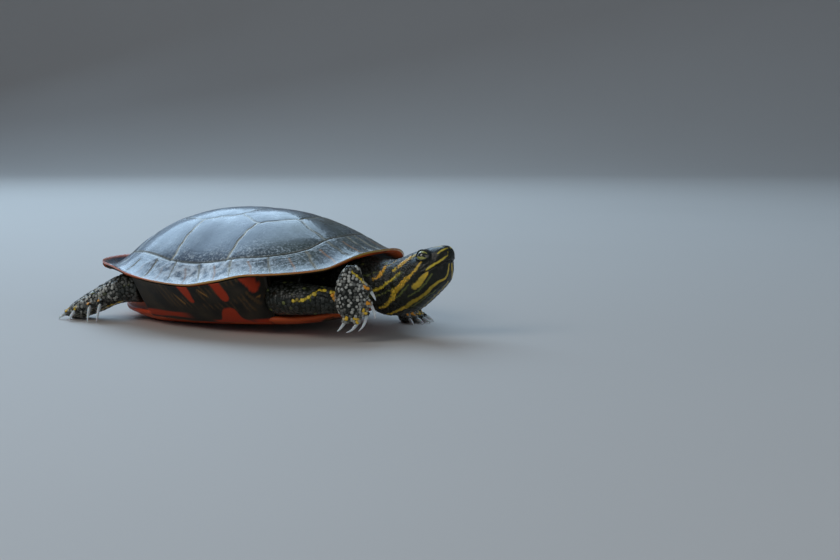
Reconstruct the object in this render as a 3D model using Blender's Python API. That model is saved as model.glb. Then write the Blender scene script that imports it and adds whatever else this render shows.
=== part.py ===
"""A life-size painted turtle (Chrysemys picta) walking, built solid by solid.

Millimetres are used for every size below and turned into metres by MM.
The turtle faces +X, its left side is +Y, and it rests on the plane z = 0.
"""
import math

import bmesh
import bpy
import numpy as np
from mathutils import Vector

MM = 0.001
GAP = 0.3                 # clearance between neighbouring solids
FRAME_SHIFT = (-16.29, 0.0, 0.0)  # puts the middle of the whole length at x = 0

# --- Carapace -------------------------------------------------------------
HALF_LENGTH = 70.0
HALF_WIDTH = 49.6
CROWN = 49.0              # height of the top of the shell above the floor
CROWN_FORWARD = 2.6       # how far the crown sits in front of the middle
NOSE_SQUARENESS = 2.5     # superellipse exponent of the front half of the plan
RUMP_SQUARENESS = 1.95    # and of the rear half
RIM_STATIONS = (-70, -45, -25, -8, 6, 22, 36, 50, 62, 70)
RIM_HEIGHTS = (24.8, 25.6, 23.1, 21.4, 20.9, 23.2, 26.2, 27.1, 28.6, 34.2)
DOME_POWER = {"front": 2.33, "side": 2.12, "rear": 2.0}
MARGIN_DIP = {"front": 1.7, "side": 0.9, "rear": 5.8}
DOME_SHAPE = 1.17
SHELL_THICK = 2.6
RIM_THICK = 1.5

# --- Plastron and bridges ---------------------------------------------------
PLASTRON_STATIONS = (-61, -56, -46, -30, 0, 36, 47, 55, 60, 63)
PLASTRON_WIDTHS = (5.0, 14.0, 24.0, 31.0, 33.5, 30.0, 27.0, 21.5, 15.0, 6.0)
PLASTRON_THICK = 2.8
PLASTRON_RINGS = (0.35, 0.58, 0.72, 0.85, 0.96)
KEEL_FLAT = -33.0         # behind this station the plastron lies on the floor
KEEL_RISE = 0.048         # slope of the plastron in front of it
NOSE_START = 44.0         # ahead of this station its front lobe turns up
NOSE_RISE = 2.0
TAIL_START = -45.0        # behind this one its rear lobe turns up
TAIL_RISE = 2.4
PLASTRON_EDGE_LIFT = 2.6
REAR_EDGE_LIFT = 1.8      # how much more the edge turns up behind
REAR_LIFT_START = 8.0     # grows behind this station over REAR_LIFT_RUN
REAR_LIFT_RUN = 40.0
BRIDGE_REAR = -27.0
BRIDGE_FRONT = 36.0
BRIDGE_CLEARANCE = 0.55    # under the rim, which is a chain of flats
BRIDGE_SETBACK = 2.2

# --- Flesh ------------------------------------------------------------------
TRUNK_REAR = -33.0
TRUNK_FRONT = 36.0
SNOUT = (103.2, 0.0, 35.4)
HEAD_PITCH = math.radians(30)
HEAD_LENGTH = 25.0
HEAD_STATIONS = (0.0, 1.2, 3.2, 5.5, 8.3, 12.5, 17.5, 21.5, 25.0)
HEAD_TOPS = (1.4, 3.0, 4.1, 4.9, 5.8, 6.8, 7.7, 8.2, 8.5)
HEAD_BOTTOMS = (-1.4, -2.6, -4.6, -8.0, -10.3, -11.5, -12.6, -13.4, -13.8)
HEAD_HALF_WIDTHS = (1.8, 3.6, 5.0, 6.2, 7.5, 9.0, 9.9, 10.3, 10.5)
HEAD_ROUNDNESS = 0.85
MOUTH_BACK = 12.5         # corner of the mouth, back from the snout
MOUTH_DROP = 3.4          # the mouth's plane, below the snout's line
EYE_RADIUS = 3.1
EYE_BACK = 9.8
EYE_UP = 2.45
EYE_SIDE = 4.9

# Stations of the neck, tail and limbs: x, y, z, half width, half height.
NECK = (
    (36.3, 0, 17, 10.5, 9.0),
    (50, 0, 18.6, 10.6, 9.8),
    (60, 0, 22.0, 10.6, 9.2),
    (65, 0, 21.8, 10.7, 9.2),
    (70, 0, 20.4, 10.8, 10.6),
    (75, 0, 19.0, 10.9, 11.6),
    (82.87, 0, 20.6, 10.5, 11.15),
)
TAIL = (
    (-33.3, 0, 15, 11, 8.5),
    (-42, 0, 14, 9, 7.5),
    (-50, 0.4, 14, 5.5, 5),
    (-58, 1.2, 13.8, 3, 3),
    (-66, 3.0, 12.6, 1.8, 1.8),
    (-71, 5.0, 11.2, 0.8, 0.8),
)
RAISED_ARM = (
    (36.3, -24.5, 15.4, 8.2, 7.8),
    (45, -28.5, 15.8, 8.0, 6.8),
    (55, -28.0, 15.8, 7.0, 6.0),
    (63, -25.0, 15.6, 5.6, 5.2),
    (69, -21.8, 15.6, 4.6, 4.8),
    (73.5, -20.9, 15.8, 3.9, 4.2),
)
# The raised hand, from its top down: x, y, z, half width, half thickness.
RAISED_HAND = (
    (72.4, -24.4, 30.3, 1.4, 1.1),
    (72.5, -24.5, 29.0, 3.1, 1.9),
    (72.3, -25.0, 26.3, 4.5, 2.6),
    (72.4, -25.4, 22.8, 5.6, 3.1),
    (72.9, -25.6, 19.3, 6.3, 3.4),
    (73.3, -25.8, 15.9, 6.3, 3.4),
    (73.5, -26.2, 12.4, 5.6, 3.1),
    (73.7, -26.4, 10.1, 4.1, 2.4),
    (73.8, -26.5, 8.5, 2.5, 1.7),
    (73.8, -26.6, 7.4, 1.2, 1.0),
)
PLANTED_ARM = (
    (36.3, 24.5, 15.4, 8.2, 7.8),
    (45, 28.5, 16.2, 8.0, 6.8),
    (54, 32.5, 14, 7.2, 6.8),
    (59.5, 34, 7.5, 6.4, 4.6),
    (62.2, 34, 2.8, 6.8, 4.2),
    (64.8, 34, 1.7, 6.8, 2.6),
)
HIND_LEG = (
    (-33.3, -23, 14.5, 8.2, 7.0),
    (-39.5, -27.5, 14.9, 7.8, 6.6),
    (-44, -29.8, 13.8, 7.2, 6.0),
    (-48, -31.3, 12.1, 6.7, 5.5),
    (-54, -33, 9.0, 6.4, 5.0),
    (-60, -34.2, 6.0, 6.4, 4.6),
    (-65, -35.2, 3.6, 6.0, 3.8),
    (-68.5, -36, 2.4, 4.6, 2.5),
)
LEFT_LEG_SHIFT = 4.0

# Toes: where each starts in its foot, where it ends, and its claw's tip.
RAISED_TOES = (
    ((76.0, -23.5, 22.9), (79.4, -21.7, 20.1), (81.2, -21.1, 16.3)),
    ((77.4, -23.5, 16.7), (79.9, -22.1, 14.9), (81.4, -21.9, 9.3)),
    ((76.6, -24.4, 13.6), (78.9, -23.3, 10.9), (76.1, -25.9, 4.5)),
    ((74.8, -26.0, 10.5), (76.0, -25.7, 7.4), (72.2, -28.5, 4.1)),
    ((72.1, -27.5, 11.6), (71.7, -28.3, 8.0), (69.2, -30.3, 4.5)),
)
PLANTED_TOES = (
    ((62.0, 29.6, 2.2), (65.6, 27.4, 1.95), (69.0, 25.4, 0.0)),
    ((63.0, 31.6, 2.2), (67.6, 30.4, 1.95), (71.4, 29.6, 0.0)),
    ((63.5, 34.0, 2.2), (68.3, 33.8, 1.95), (72.2, 33.8, 0.0)),
    ((63.0, 36.5, 2.2), (67.3, 37.4, 1.95), (71.0, 38.6, 0.0)),
    ((62.0, 38.4, 2.2), (65.0, 40.2, 1.95), (68.0, 42.4, 0.0)),
)
HIND_TOES = (
    ((-51.4, -36.2, 7.8), (-46.6, -40.2, 8.8), (-48.6, -41.4, 0.0)),
    ((-55.8, -37.6, 6.2), (-52.2, -41.0, 7.2), (-52.4, -42.8, 0.0)),
    ((-60.8, -38.2, 4.2), (-60.2, -42.0, 4.7), (-62.0, -44.0, 0.0)),
    ((-65.8, -37.2, 2.8), (-68.0, -39.8, 2.8), (-70.0, -42.2, 0.0)),
)
FORE_TOE_RADIUS = 1.75
HIND_TOE_RADIUS = 1.85
TOE_TAPER = 0.8
HAND_ACROSS = (0.846, 0.533, 0.0)  # the way the raised hand is broad
HAND_OUT = (0.53, -0.84, 0.116)    # the way its back faces
PLANTED_BACK = (0.0, 0.0, 1.0)
HIND_BACK = (0.0, -0.8, 0.6)
CLAW_RADIUS = 1.15
CLAW_ARCH = 0.14           # how far a claw bows out, as a share of its length
BOW_AHEAD = 2.0             # how much more it bows ahead than upwards
CLAW_STATIONS = (0.0, 0.3, 0.55, 0.8)

DARK_SKIN = (0.035, 0.040, 0.030)
SHELL_COLOUR = (0.055, 0.075, 0.085)
PLASTRON_COLOUR = (0.55, 0.07, 0.015)
CLAW_COLOUR = (0.55, 0.57, 0.55)
EYE_COLOUR = (0.45, 0.45, 0.05)


def clear_scene():
    for old in list(bpy.data.objects):
        bpy.data.objects.remove(old, do_unlink=True)


def principled(name, colour, roughness):
    material = bpy.data.materials.new(name)
    material.use_nodes = True
    shader = material.node_tree.nodes["Principled BSDF"]
    shader.inputs["Base Color"].default_value = (*colour, 1.0)
    shader.inputs["Roughness"].default_value = roughness
    shader.inputs["Metallic"].default_value = 0.0
    return material


def place(points):
    """Millimetres about the shell's middle, turned into the object's metres."""
    return (np.asarray(points, float) + FRAME_SHIFT) * MM


def add_object(name, vertices, faces, material, origin=None):
    """Make one closed solid, its origin at its middle unless one is given."""
    points = place(vertices)
    base = (points.min(axis=0) + points.max(axis=0)) / 2 if origin is None else place(origin)
    mesh = bpy.data.meshes.new(name)
    mesh.from_pydata((points - base).tolist(), [], faces)
    work = bmesh.new()
    work.from_mesh(mesh)
    bmesh.ops.recalc_face_normals(work, faces=work.faces)
    work.to_mesh(mesh)
    work.free()
    mesh.shade_smooth()
    mesh.set_sharp_from_angle(angle=math.radians(50))
    mesh.materials.append(material)
    solid = bpy.data.objects.new(name, mesh)
    solid.location = Vector(base)
    bpy.context.collection.objects.link(solid)
    return solid


def loft(rings):
    """Close a stack of equal rings; a ring of one point is a pole."""
    vertices = []
    starts = []
    for ring in rings:
        starts.append(len(vertices))
        vertices.extend(ring)
    faces = []
    for low, high, first, second in zip(rings, rings[1:], starts, starts[1:]):
        count = max(len(low), len(high))
        for k in range(count):
            after = (k + 1) % count
            if len(low) == 1:
                faces.append((first, second + k, second + after))
            elif len(high) == 1:
                faces.append((first + k, second, first + after))
            else:
                faces.append((first + k, second + k, second + after, first + after))
    if len(rings[0]) > 1:
        faces.append(tuple(range(starts[0], starts[0] + len(rings[0]))))
    if len(rings[-1]) > 1:
        faces.append(tuple(range(starts[-1], starts[-1] + len(rings[-1]))))
    return vertices, faces


def smooth_through(stations, values):
    """Return a smooth function through a few named stations (Hermite pieces)."""
    xs = np.asarray(stations, float)
    ys = np.asarray(values, float)
    steps = np.diff(ys) / np.diff(xs)
    slopes = np.zeros_like(ys)
    slopes[0] = steps[0]
    slopes[-1] = steps[-1]
    same_way = steps[:-1] * steps[1:] > 0
    total = np.where(same_way, steps[:-1] + steps[1:], 1.0)
    slopes[1:-1] = np.where(same_way, 2 * steps[:-1] * steps[1:] / total, 0.0)

    def value(x):
        x = np.clip(x, xs[0], xs[-1])
        k = np.clip(np.searchsorted(xs, x) - 1, 0, len(xs) - 2)
        width = xs[k + 1] - xs[k]
        t = (x - xs[k]) / width
        hermite = (2 * t**3 - 3 * t**2 + 1) * ys[k] + (t**3 - 2 * t**2 + t) * width * slopes[k]
        return hermite + (3 * t**2 - 2 * t**3) * ys[k + 1] + (t**3 - t**2) * width * slopes[k + 1]

    return value


rim_height = smooth_through(RIM_STATIONS, RIM_HEIGHTS)
plastron_width = smooth_through(PLASTRON_STATIONS, PLASTRON_WIDTHS)


def mix_round(parts, angle):
    """Blend the front, side and rear values of the shell round its plan."""
    ahead = np.clip(np.cos(angle), 0, 1) ** 2
    behind = np.clip(-np.cos(angle), 0, 1) ** 2
    return ahead * parts["front"] + behind * parts["rear"] + (1 - ahead - behind) * parts["side"]


def plan_outline(angle):
    """The shell's plan: a superellipse, squarer in front than behind."""
    power = np.where(np.cos(angle) > 0, NOSE_SQUARENESS, RUMP_SQUARENESS)
    x = HALF_LENGTH * np.sign(np.cos(angle)) * np.abs(np.cos(angle)) ** (2 / power)
    y = HALF_WIDTH * np.sign(np.sin(angle)) * np.abs(np.sin(angle)) ** (2 / power)
    return x, y


def shell_point(angle, reach):
    """A point of the shell's upper face, from the crown (0) to the rim (1)."""
    x, y = plan_outline(angle)
    rim = rim_height(x)
    rise = (1 - reach ** mix_round(DOME_POWER, angle)) ** DOME_SHAPE
    dip = mix_round(MARGIN_DIP, angle) * reach**8 * (1 - reach) / 0.0387
    z = rim + (CROWN - rim) * rise - dip
    return np.array([reach * x + CROWN_FORWARD * (1 - reach**2), reach * y, z])


def shell_inside(angle, reach, depth):
    """The same point moved inwards by depth, square to the surface."""
    step = 0.01
    inner = max(reach - step, 0.0)
    outwards = shell_point(angle, min(inner + step, 1.0)) - shell_point(angle, inner)
    around = shell_point(angle + step, max(reach, 0.05)) - shell_point(angle - step, max(reach, 0.05))
    normal = np.cross(outwards, around)
    normal = normal / np.linalg.norm(normal)
    if normal[2] < 0:
        normal = -normal
    return shell_point(angle, reach) - depth * normal


def shell_height(x, y):
    """Height of the shell's upper face over a point of the plan."""
    reach = 0.5
    for _ in range(6):
        ahead = x - CROWN_FORWARD * (1 - min(reach, 1.0) ** 2)
        power = NOSE_SQUARENESS if ahead > 0 else RUMP_SQUARENESS
        share_x = (abs(ahead) / HALF_LENGTH) ** power
        share_y = (abs(y) / HALF_WIDTH) ** power
        reach = (share_x + share_y) ** (1 / power)
    angle = math.atan2(math.sqrt(share_y), math.sqrt(share_x))
    if ahead < 0:
        angle = math.pi - angle
    return shell_point(angle, min(reach, 1.0))[2]


def keel_height(x):
    """Height of the plastron's lower face along the middle."""
    nose = NOSE_RISE * max(0.0, (x - NOSE_START) / (PLASTRON_STATIONS[-1] - NOSE_START)) ** 2
    tail = TAIL_RISE * max(0.0, (x - TAIL_START) / (PLASTRON_STATIONS[0] - TAIL_START)) ** 2
    return KEEL_RISE * max(0.0, x - KEEL_FLAT) + nose + tail


def edge_lift(x, reach):
    """How far the plastron turns up towards its edge; its middle is flat."""
    start = PLASTRON_RINGS[2]
    rearward = min(1.0, max(0.0, (REAR_LIFT_START - x) / REAR_LIFT_RUN))
    height = PLASTRON_EDGE_LIFT + REAR_EDGE_LIFT * rearward
    return height * max(0.0, (reach - start) / (1 - start)) ** 1.6


def make_carapace(material):
    turns = 44
    angles = [2 * math.pi * k / turns for k in range(turns)]
    outer = (0.18, 0.36, 0.54, 0.7, 0.82, 0.92, 1.0)
    inner = (0.965, 0.86, 0.68, 0.45, 0.22)
    rings = [[shell_point(0.0, 0.0)]]
    for reach in outer:
        rings.append([shell_point(angle, reach) for angle in angles])
    rings.append([shell_point(angle, 1.0) - (0, 0, RIM_THICK) for angle in angles])
    for reach in inner:
        thick = RIM_THICK + (SHELL_THICK - RIM_THICK) * min(1.0, (1 - reach) * 6)
        rings.append([shell_inside(angle, reach, thick) for angle in angles])
    rings.append([shell_point(0.0, 0.0) - (0, 0, SHELL_THICK)])
    return add_object("carapace", *loft(rings), material)


def plastron_point(angle, reach, top):
    """A point of the plastron's lower or upper face, walked round by angle."""
    middle = (PLASTRON_STATIONS[-1] + PLASTRON_STATIONS[0]) / 2
    half = (PLASTRON_STATIONS[-1] - PLASTRON_STATIONS[0]) / 2
    edge_x = middle + half * math.cos(angle)
    edge_y = math.copysign(float(plastron_width(edge_x)), math.sin(angle))
    x = middle + (edge_x - middle) * reach
    y = edge_y * reach
    z = keel_height(x) + edge_lift(x, reach)
    return np.array([x, y, z + (PLASTRON_THICK if top else 0.0)])


def make_plastron(material):
    turns = 36
    angles = [2 * math.pi * (k + 0.5) / turns for k in range(turns)]
    rings = [[plastron_point(0.0, 0.0, False)]]
    for reach in PLASTRON_RINGS:
        rings.append([plastron_point(angle, reach, False) for angle in angles])
    rings.append([plastron_point(angle, 1.0, False) + (0, 0, 0.9) for angle in angles])
    for reach in (0.97, 0.85, 0.6):
        rings.append([plastron_point(angle, reach, True) for angle in angles])
    rings.append([plastron_point(0.0, 0.0, True)])
    return add_object("plastron", *loft(rings), material)


def bridge_section(x, side):
    """One upright slice of the bridge, from the plastron's edge to the rim."""
    angle = math.acos(max(-1.0, min(1.0, x / HALF_LENGTH)))
    rim_x, rim_y = plan_outline(angle)
    top = rim_height(rim_x) - RIM_THICK - BRIDGE_CLEARANCE
    low = keel_height(x) + edge_lift(x, 1.0) + GAP
    near = float(plastron_width(x)) + GAP
    far = float(rim_y) - BRIDGE_SETBACK
    foot = low - 0.5
    outside = []
    for share in (0.0, 0.3, 0.62, 1.0):
        outside.append((near + (far - near) * share, foot + (top - foot) * share**1.25))
    inside = [(y - 2.4 - 0.4 * k, z + 1.4 - 0.5 * k) for k, (y, z) in enumerate(outside)]
    inside[0] = (near, low + 2.0)
    ring = outside + inside[::-1]
    return [(x, side * y, z) for y, z in ring]


def make_bridge(name, side, material):
    stations = np.linspace(BRIDGE_REAR, BRIDGE_FRONT, 8)
    rings = [bridge_section(x, side) for x in stations]
    return add_object(name, *loft(rings), material)


def trunk_section(x, turns):
    """A slice of the body inside the shell, clear of it on every side."""
    half = min(float(plastron_width(x)) + 1.0, 32.0) - 2.5
    ring = []
    for k in range(turns):
        turn = 2 * math.pi * (k + 0.5) / turns
        y = half * math.copysign(abs(math.cos(turn)) ** 0.7, math.cos(turn))
        roof = shell_height(x, y) - SHELL_THICK - 1.6 - 1.2 * abs(y) / half
        floor = keel_height(x) + PLASTRON_THICK + 1.2 + edge_lift(x, 1.0) * (abs(y) / half) ** 3
        middle = (roof + floor) / 2
        ring.append((x, y, middle + (roof - floor) / 2 * math.sin(turn)))
    return ring


def make_trunk(material):
    stations = np.linspace(TRUNK_REAR, TRUNK_FRONT, 8)
    rings = [trunk_section(x, 20) for x in stations]
    return add_object("trunk", *loft(rings), material)


def frame_along(forward, up=(0, 0, 1)):
    """Side and up directions of a slice square to the forward direction."""
    forward = np.asarray(forward, float) / np.linalg.norm(forward)
    side = np.cross(np.asarray(up, float), forward)
    side = side / np.linalg.norm(side)
    return side, np.cross(forward, side)


def oval(centre, side, rise, half_side, half_rise, turns):
    """An oval slice, flattened where it would sink through the floor."""
    ring = []
    for k in range(turns):
        turn = 2 * math.pi * (k + 0.5) / turns
        point = np.asarray(centre, float) + half_side * math.cos(turn) * side
        point = point + half_rise * math.sin(turn) * rise
        point[2] = max(point[2], 0.0)
        ring.append(point)
    return ring


def unit(vector):
    vector = np.asarray(vector, float)
    return vector / np.linalg.norm(vector)


def make_limb(names, stations, breaks, turns, material, last_way=None):
    """Loft a limb through its stations and part it at some of them.

    A station is (x, y, z, half_side, half_rise). Each slice stands half-way
    between the directions before and after it, so the two ends at a parting
    share one plane and stay GAP apart.
    """
    points = [np.array(station[:3], float) for station in stations]
    legs = [unit(b - a) for a, b in zip(points, points[1:])]
    ways = [np.array([math.copysign(1.0, legs[0][0]), 0.0, 0.0])]
    ways += [unit(a + b) for a, b in zip(legs, legs[1:])]
    ways.append(legs[-1] if last_way is None else unit(last_way))
    cuts = [0, *breaks, len(points) - 1]
    solids = []
    for name, first, last in zip(names, cuts, cuts[1:]):
        rings = []
        for k in range(first, last + 1):
            shift = 0.0
            if k == first and k > 0:
                shift = GAP / 2
            if k == last and (k < len(points) - 1 or last_way is not None):
                shift = -GAP / 2
            side, rise = frame_along(ways[k])
            half_side, half_rise = stations[k][3:5]
            rings.append(oval(points[k] + shift * ways[k], side, rise, half_side, half_rise, turns))
        solids.append(add_object(name, *loft(rings), material, origin=points[first]))
    return solids


def mirrored(stations, shift=0.0, first=2):
    """The same limb on the other side, its far end moved along the body."""
    other = []
    for k, (x, y, z, half_side, half_rise) in enumerate(stations):
        other.append((x + (shift if k >= first else 0.0), -y, z, half_side, half_rise))
    return other


def head_place(along, side, up):
    """World place of a point given back from the snout, aside and up."""
    back = np.array([-math.cos(HEAD_PITCH), 0.0, -math.sin(HEAD_PITCH)])
    rise = np.array([-math.sin(HEAD_PITCH), 0.0, math.cos(HEAD_PITCH)])
    return np.array(SNOUT) + along * back + np.array([0.0, side, 0.0]) + up * rise


head_top = smooth_through(HEAD_STATIONS, HEAD_TOPS)
head_bottom = smooth_through(HEAD_STATIONS, HEAD_BOTTOMS)
head_half = smooth_through(HEAD_STATIONS, HEAD_HALF_WIDTHS)


def head_ring(along, low, high, turns):
    """A slice of the head, kept between two heights by flat faces."""
    top = float(head_top(along))
    bottom = float(head_bottom(along))
    middle = (top + bottom) / 2
    half_rise = (top - bottom) / 2
    half_side = float(head_half(along))
    ring = []
    for k in range(turns):
        turn = 2 * math.pi * (k + 0.5) / turns
        side = half_side * math.copysign(abs(math.cos(turn)) ** HEAD_ROUNDNESS, math.cos(turn))
        up = middle + half_rise * math.sin(turn)
        if not low <= up <= high:
            up = min(max(up, low), high)
            reach = half_side * max(0.0, 1 - ((up - middle) / half_rise) ** 2) ** (HEAD_ROUNDNESS / 2)
            side = max(-reach, min(reach, side))
        ring.append(head_place(along, side, up))
    return ring


def make_head(skin):
    turns = 20
    front = (0.0, 0.6, 1.8, 3.6, 5.5, 8.0, 10.3, MOUTH_BACK)
    rear = (MOUTH_BACK + GAP, 15.0, 18.0, 21.5, HEAD_LENGTH - GAP / 2)
    rings = [head_ring(along, -MOUTH_DROP, HEAD_LENGTH, turns) for along in front]
    rings += [head_ring(along, -HEAD_LENGTH, HEAD_LENGTH, turns) for along in rear]
    head = add_object("head", *loft(rings), skin, origin=head_place(HEAD_LENGTH, 0, 0))
    stations = (3.3, 4.2, 5.5, 7.0, 8.6, 10.4, MOUTH_BACK)
    rings = [head_ring(along, -HEAD_LENGTH, -MOUTH_DROP - GAP, 16) for along in stations]
    add_object("lower_jaw", *loft(rings), skin, origin=head_place(MOUTH_BACK, 0, -MOUTH_DROP))
    return head


def add_ball(name, centre, radius, material, segments, rings):
    mesh = bpy.data.meshes.new(name)
    work = bmesh.new()
    bmesh.ops.create_uvsphere(work, u_segments=segments, v_segments=rings, radius=radius * MM)
    work.to_mesh(mesh)
    work.free()
    mesh.shade_smooth()
    mesh.materials.append(material)
    ball = bpy.data.objects.new(name, mesh)
    ball.location = Vector(place(centre))
    bpy.context.collection.objects.link(ball)
    return ball


def combine(solid, helper, operation):
    """Join a hidden helper to a solid, or cut the solid by it."""
    helper.hide_render = True
    helper.display_type = "WIRE"
    step = solid.modifiers.new(helper.name, "BOOLEAN")
    step.operation = operation
    step.solver = "EXACT"
    step.object = helper


def make_eyes(head, eye_material, skin):
    for name, side in (("eye_right", -EYE_SIDE), ("eye_left", EYE_SIDE)):
        centre = head_place(EYE_BACK, side, EYE_UP)
        add_ball(name, centre, EYE_RADIUS, eye_material, 14, 8)
        socket = add_ball("socket_of_" + name, centre, EYE_RADIUS + GAP, skin, 16, 10)
        combine(head, socket, "DIFFERENCE")


def make_claw(name, root, ahead, tip, back, material):
    """A curved horny cone: flat root square to its toe, bowed ahead and back."""
    root = np.asarray(root, float)
    tip = np.asarray(tip, float)
    arch = CLAW_ARCH * np.linalg.norm(tip - root) * unit(BOW_AHEAD * ahead + np.asarray(back))
    rings = []
    for share in CLAW_STATIONS:
        centre = root + (tip - root) * share + arch * 4 * share * (1 - share)
        way = unit(ahead) if share == 0 else unit(tip - root + arch * 4 * (1 - 2 * share))
        side, rise = frame_along(way, up=back)
        thick = CLAW_RADIUS * (1 - share) ** 0.7
        rings.append(oval(centre, side, rise, thick * 0.8, thick, 6))
    rings.append([tip])
    add_object(name, *loft(rings), material, origin=root)


def add_toes(foot, toes, radius, back, skin, claw_material):
    """Grow toes (start, end, claw tip) on a foot whose back faces that way."""
    for number, (start, end, tip) in enumerate(toes, start=1):
        start = np.asarray(start, float)
        end = np.asarray(end, float)
        ahead = unit(end - start)
        side, rise = frame_along(ahead, up=back)
        rings = [oval(start, side, rise, radius, radius, 8)]
        rings.append(oval(end, side, rise, radius * TOE_TAPER, radius * TOE_TAPER, 8))
        toe = add_object(foot.name + "_toe_" + str(number), *loft(rings), skin)
        combine(foot, toe, "UNION")
        claw_name = foot.name + "_claw_" + str(number)
        make_claw(claw_name, end + GAP * ahead, ahead, tip, back, claw_material)


def mirrored_toes(toes, shift):
    """The same toes on the other side, moved along the body."""
    move = np.array([shift, 0.0, 0.0])
    flip = np.array([1.0, -1.0, 1.0])
    return [tuple(np.asarray(point, float) * flip + move for point in toe) for toe in toes]


def raised_hand_rings(room):
    """Slices of the raised hand, larger than it by some room all round."""
    rings = []
    for x, y, z, half_across, half_thick in RAISED_HAND:
        rings.append(oval((x, y, z), np.array(HAND_ACROSS), np.array(HAND_OUT),
                          half_across + room, half_thick + room, 14))
    return rings


def make_forelimbs(skin, claw_material):
    names = ("upper_arm", "forearm", "hand")
    right = make_limb([name + "_right" for name in names[:2]], RAISED_ARM, (1,), 14, skin)
    hand = add_object("hand_right", *loft(raised_hand_rings(0.0)), skin, origin=RAISED_ARM[-1][:3])
    room = add_object("room_for_hand", *loft(raised_hand_rings(GAP)), skin)
    combine(right[-1], room, "DIFFERENCE")
    add_toes(hand, RAISED_TOES, FORE_TOE_RADIUS, HAND_OUT, skin, claw_material)
    left = make_limb([name + "_left" for name in names], PLANTED_ARM, (1, 3), 14, skin)
    add_toes(left[-1], PLANTED_TOES, FORE_TOE_RADIUS, PLANTED_BACK, skin, claw_material)


def make_hind_limbs(skin, claw_material):
    names = ("thigh", "shank", "foot")
    right = make_limb([name + "_right" for name in names], HIND_LEG, (2, 3), 14, skin)
    add_toes(right[-1], HIND_TOES, HIND_TOE_RADIUS, HIND_BACK, skin, claw_material)
    stations = mirrored(HIND_LEG, LEFT_LEG_SHIFT)
    left = make_limb([name + "_left" for name in names], stations, (2, 3), 14, skin)
    toes = mirrored_toes(HIND_TOES, LEFT_LEG_SHIFT)
    left_back = (HIND_BACK[0], -HIND_BACK[1], HIND_BACK[2])
    add_toes(left[-1], toes, HIND_TOE_RADIUS, left_back, skin, claw_material)


def build():
    clear_scene()
    shell = principled("shell_horn", SHELL_COLOUR, 0.28)
    red_horn = principled("plastron_horn", PLASTRON_COLOUR, 0.35)
    skin = principled("scaly_skin", DARK_SKIN, 0.45)
    claw_horn = principled("claw_horn", CLAW_COLOUR, 0.4)
    eye_surface = principled("eye_surface", EYE_COLOUR, 0.1)
    make_carapace(shell)
    make_plastron(red_horn)
    make_bridge("bridge_right", -1, red_horn)
    make_bridge("bridge_left", 1, red_horn)
    make_trunk(skin)
    nape = unit((math.cos(HEAD_PITCH), 0.0, math.sin(HEAD_PITCH)))
    make_limb(["neck"], NECK, (), 18, skin, last_way=nape)
    make_limb(["tail"], TAIL, (), 12, skin)
    head = make_head(skin)
    make_eyes(head, eye_surface, skin)
    make_forelimbs(skin, claw_horn)
    make_hind_limbs(skin, claw_horn)


build()
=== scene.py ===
import bmesh
import bpy
import numpy as np
from mathutils import Matrix, Vector


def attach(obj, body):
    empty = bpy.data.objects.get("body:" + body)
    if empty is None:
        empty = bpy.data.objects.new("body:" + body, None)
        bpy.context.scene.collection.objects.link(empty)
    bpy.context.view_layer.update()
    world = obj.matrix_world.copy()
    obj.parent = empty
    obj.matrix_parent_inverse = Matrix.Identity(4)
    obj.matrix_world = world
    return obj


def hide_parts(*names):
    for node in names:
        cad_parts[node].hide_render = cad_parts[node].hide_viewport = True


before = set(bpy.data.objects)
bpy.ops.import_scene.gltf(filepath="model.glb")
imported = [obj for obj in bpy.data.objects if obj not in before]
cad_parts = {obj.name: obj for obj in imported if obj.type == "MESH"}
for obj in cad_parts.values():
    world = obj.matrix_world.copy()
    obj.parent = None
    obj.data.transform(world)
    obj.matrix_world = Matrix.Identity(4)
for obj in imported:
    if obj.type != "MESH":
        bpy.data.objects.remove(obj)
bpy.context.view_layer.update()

# --- Carapace ------------------------------------------------------------------
# The upper shell: one vault of bone under thin, glossy horn plates (five down the
# back, four on each flank, a ring of twenty-five round the rim), each parted from
# the next by a fine groove, with growth lines that follow its edges.

SHELL_MIDDLE = np.array([-16.29, 0.0, 0.0])   # from the frame's origin, mm
HALF_LENGTH = 70.0
HALF_WIDTH = 49.6
PLAN_AHEAD = 2.5              # powers of the plan's superellipse
PLAN_BEHIND = 1.95
CROWN = 49.0
CROWN_FORWARD = 2.6
FALL_POWERS = (2.33, 2.12, 2.0)   # of the vault ahead, at the flank and behind
DIPS = (1.7, 0.9, 5.8)        # of the ring of marginals at the same three places
DIP_POWER = 8
DIP_TOP = 0.0387              # the divisor that makes the deepest place 1.12 of its dip
SHELL_THICK = 2.6
RIM_THICK = 1.5
NORMAL_REACH = 0.97           # the rim borrows the outward direction found here
SEAM_PIECE = 2.5              # length of a seam's straight pieces
SEAM_WAVER = 0.35
GROOVE_DEPTH = 0.22
PLATE_SWELL = 0.30
GROWTH_STEP = 1.5             # from one growth line to the next
GROWTH_HEIGHT = 0.035
RIM_PLACES = (-70, -45, -25, -8, 6, 22, 36, 50, 62, 70)
RIM_HEIGHTS = (24.8, 25.6, 23.1, 21.4, 20.9, 23.2, 26.2, 27.1, 28.6, 34.2)


def metres(points):
    """Millimetres about the shell's middle, as the frame's metres."""
    return (np.asarray(points, float) + SHELL_MIDDLE) * 0.001


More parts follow.
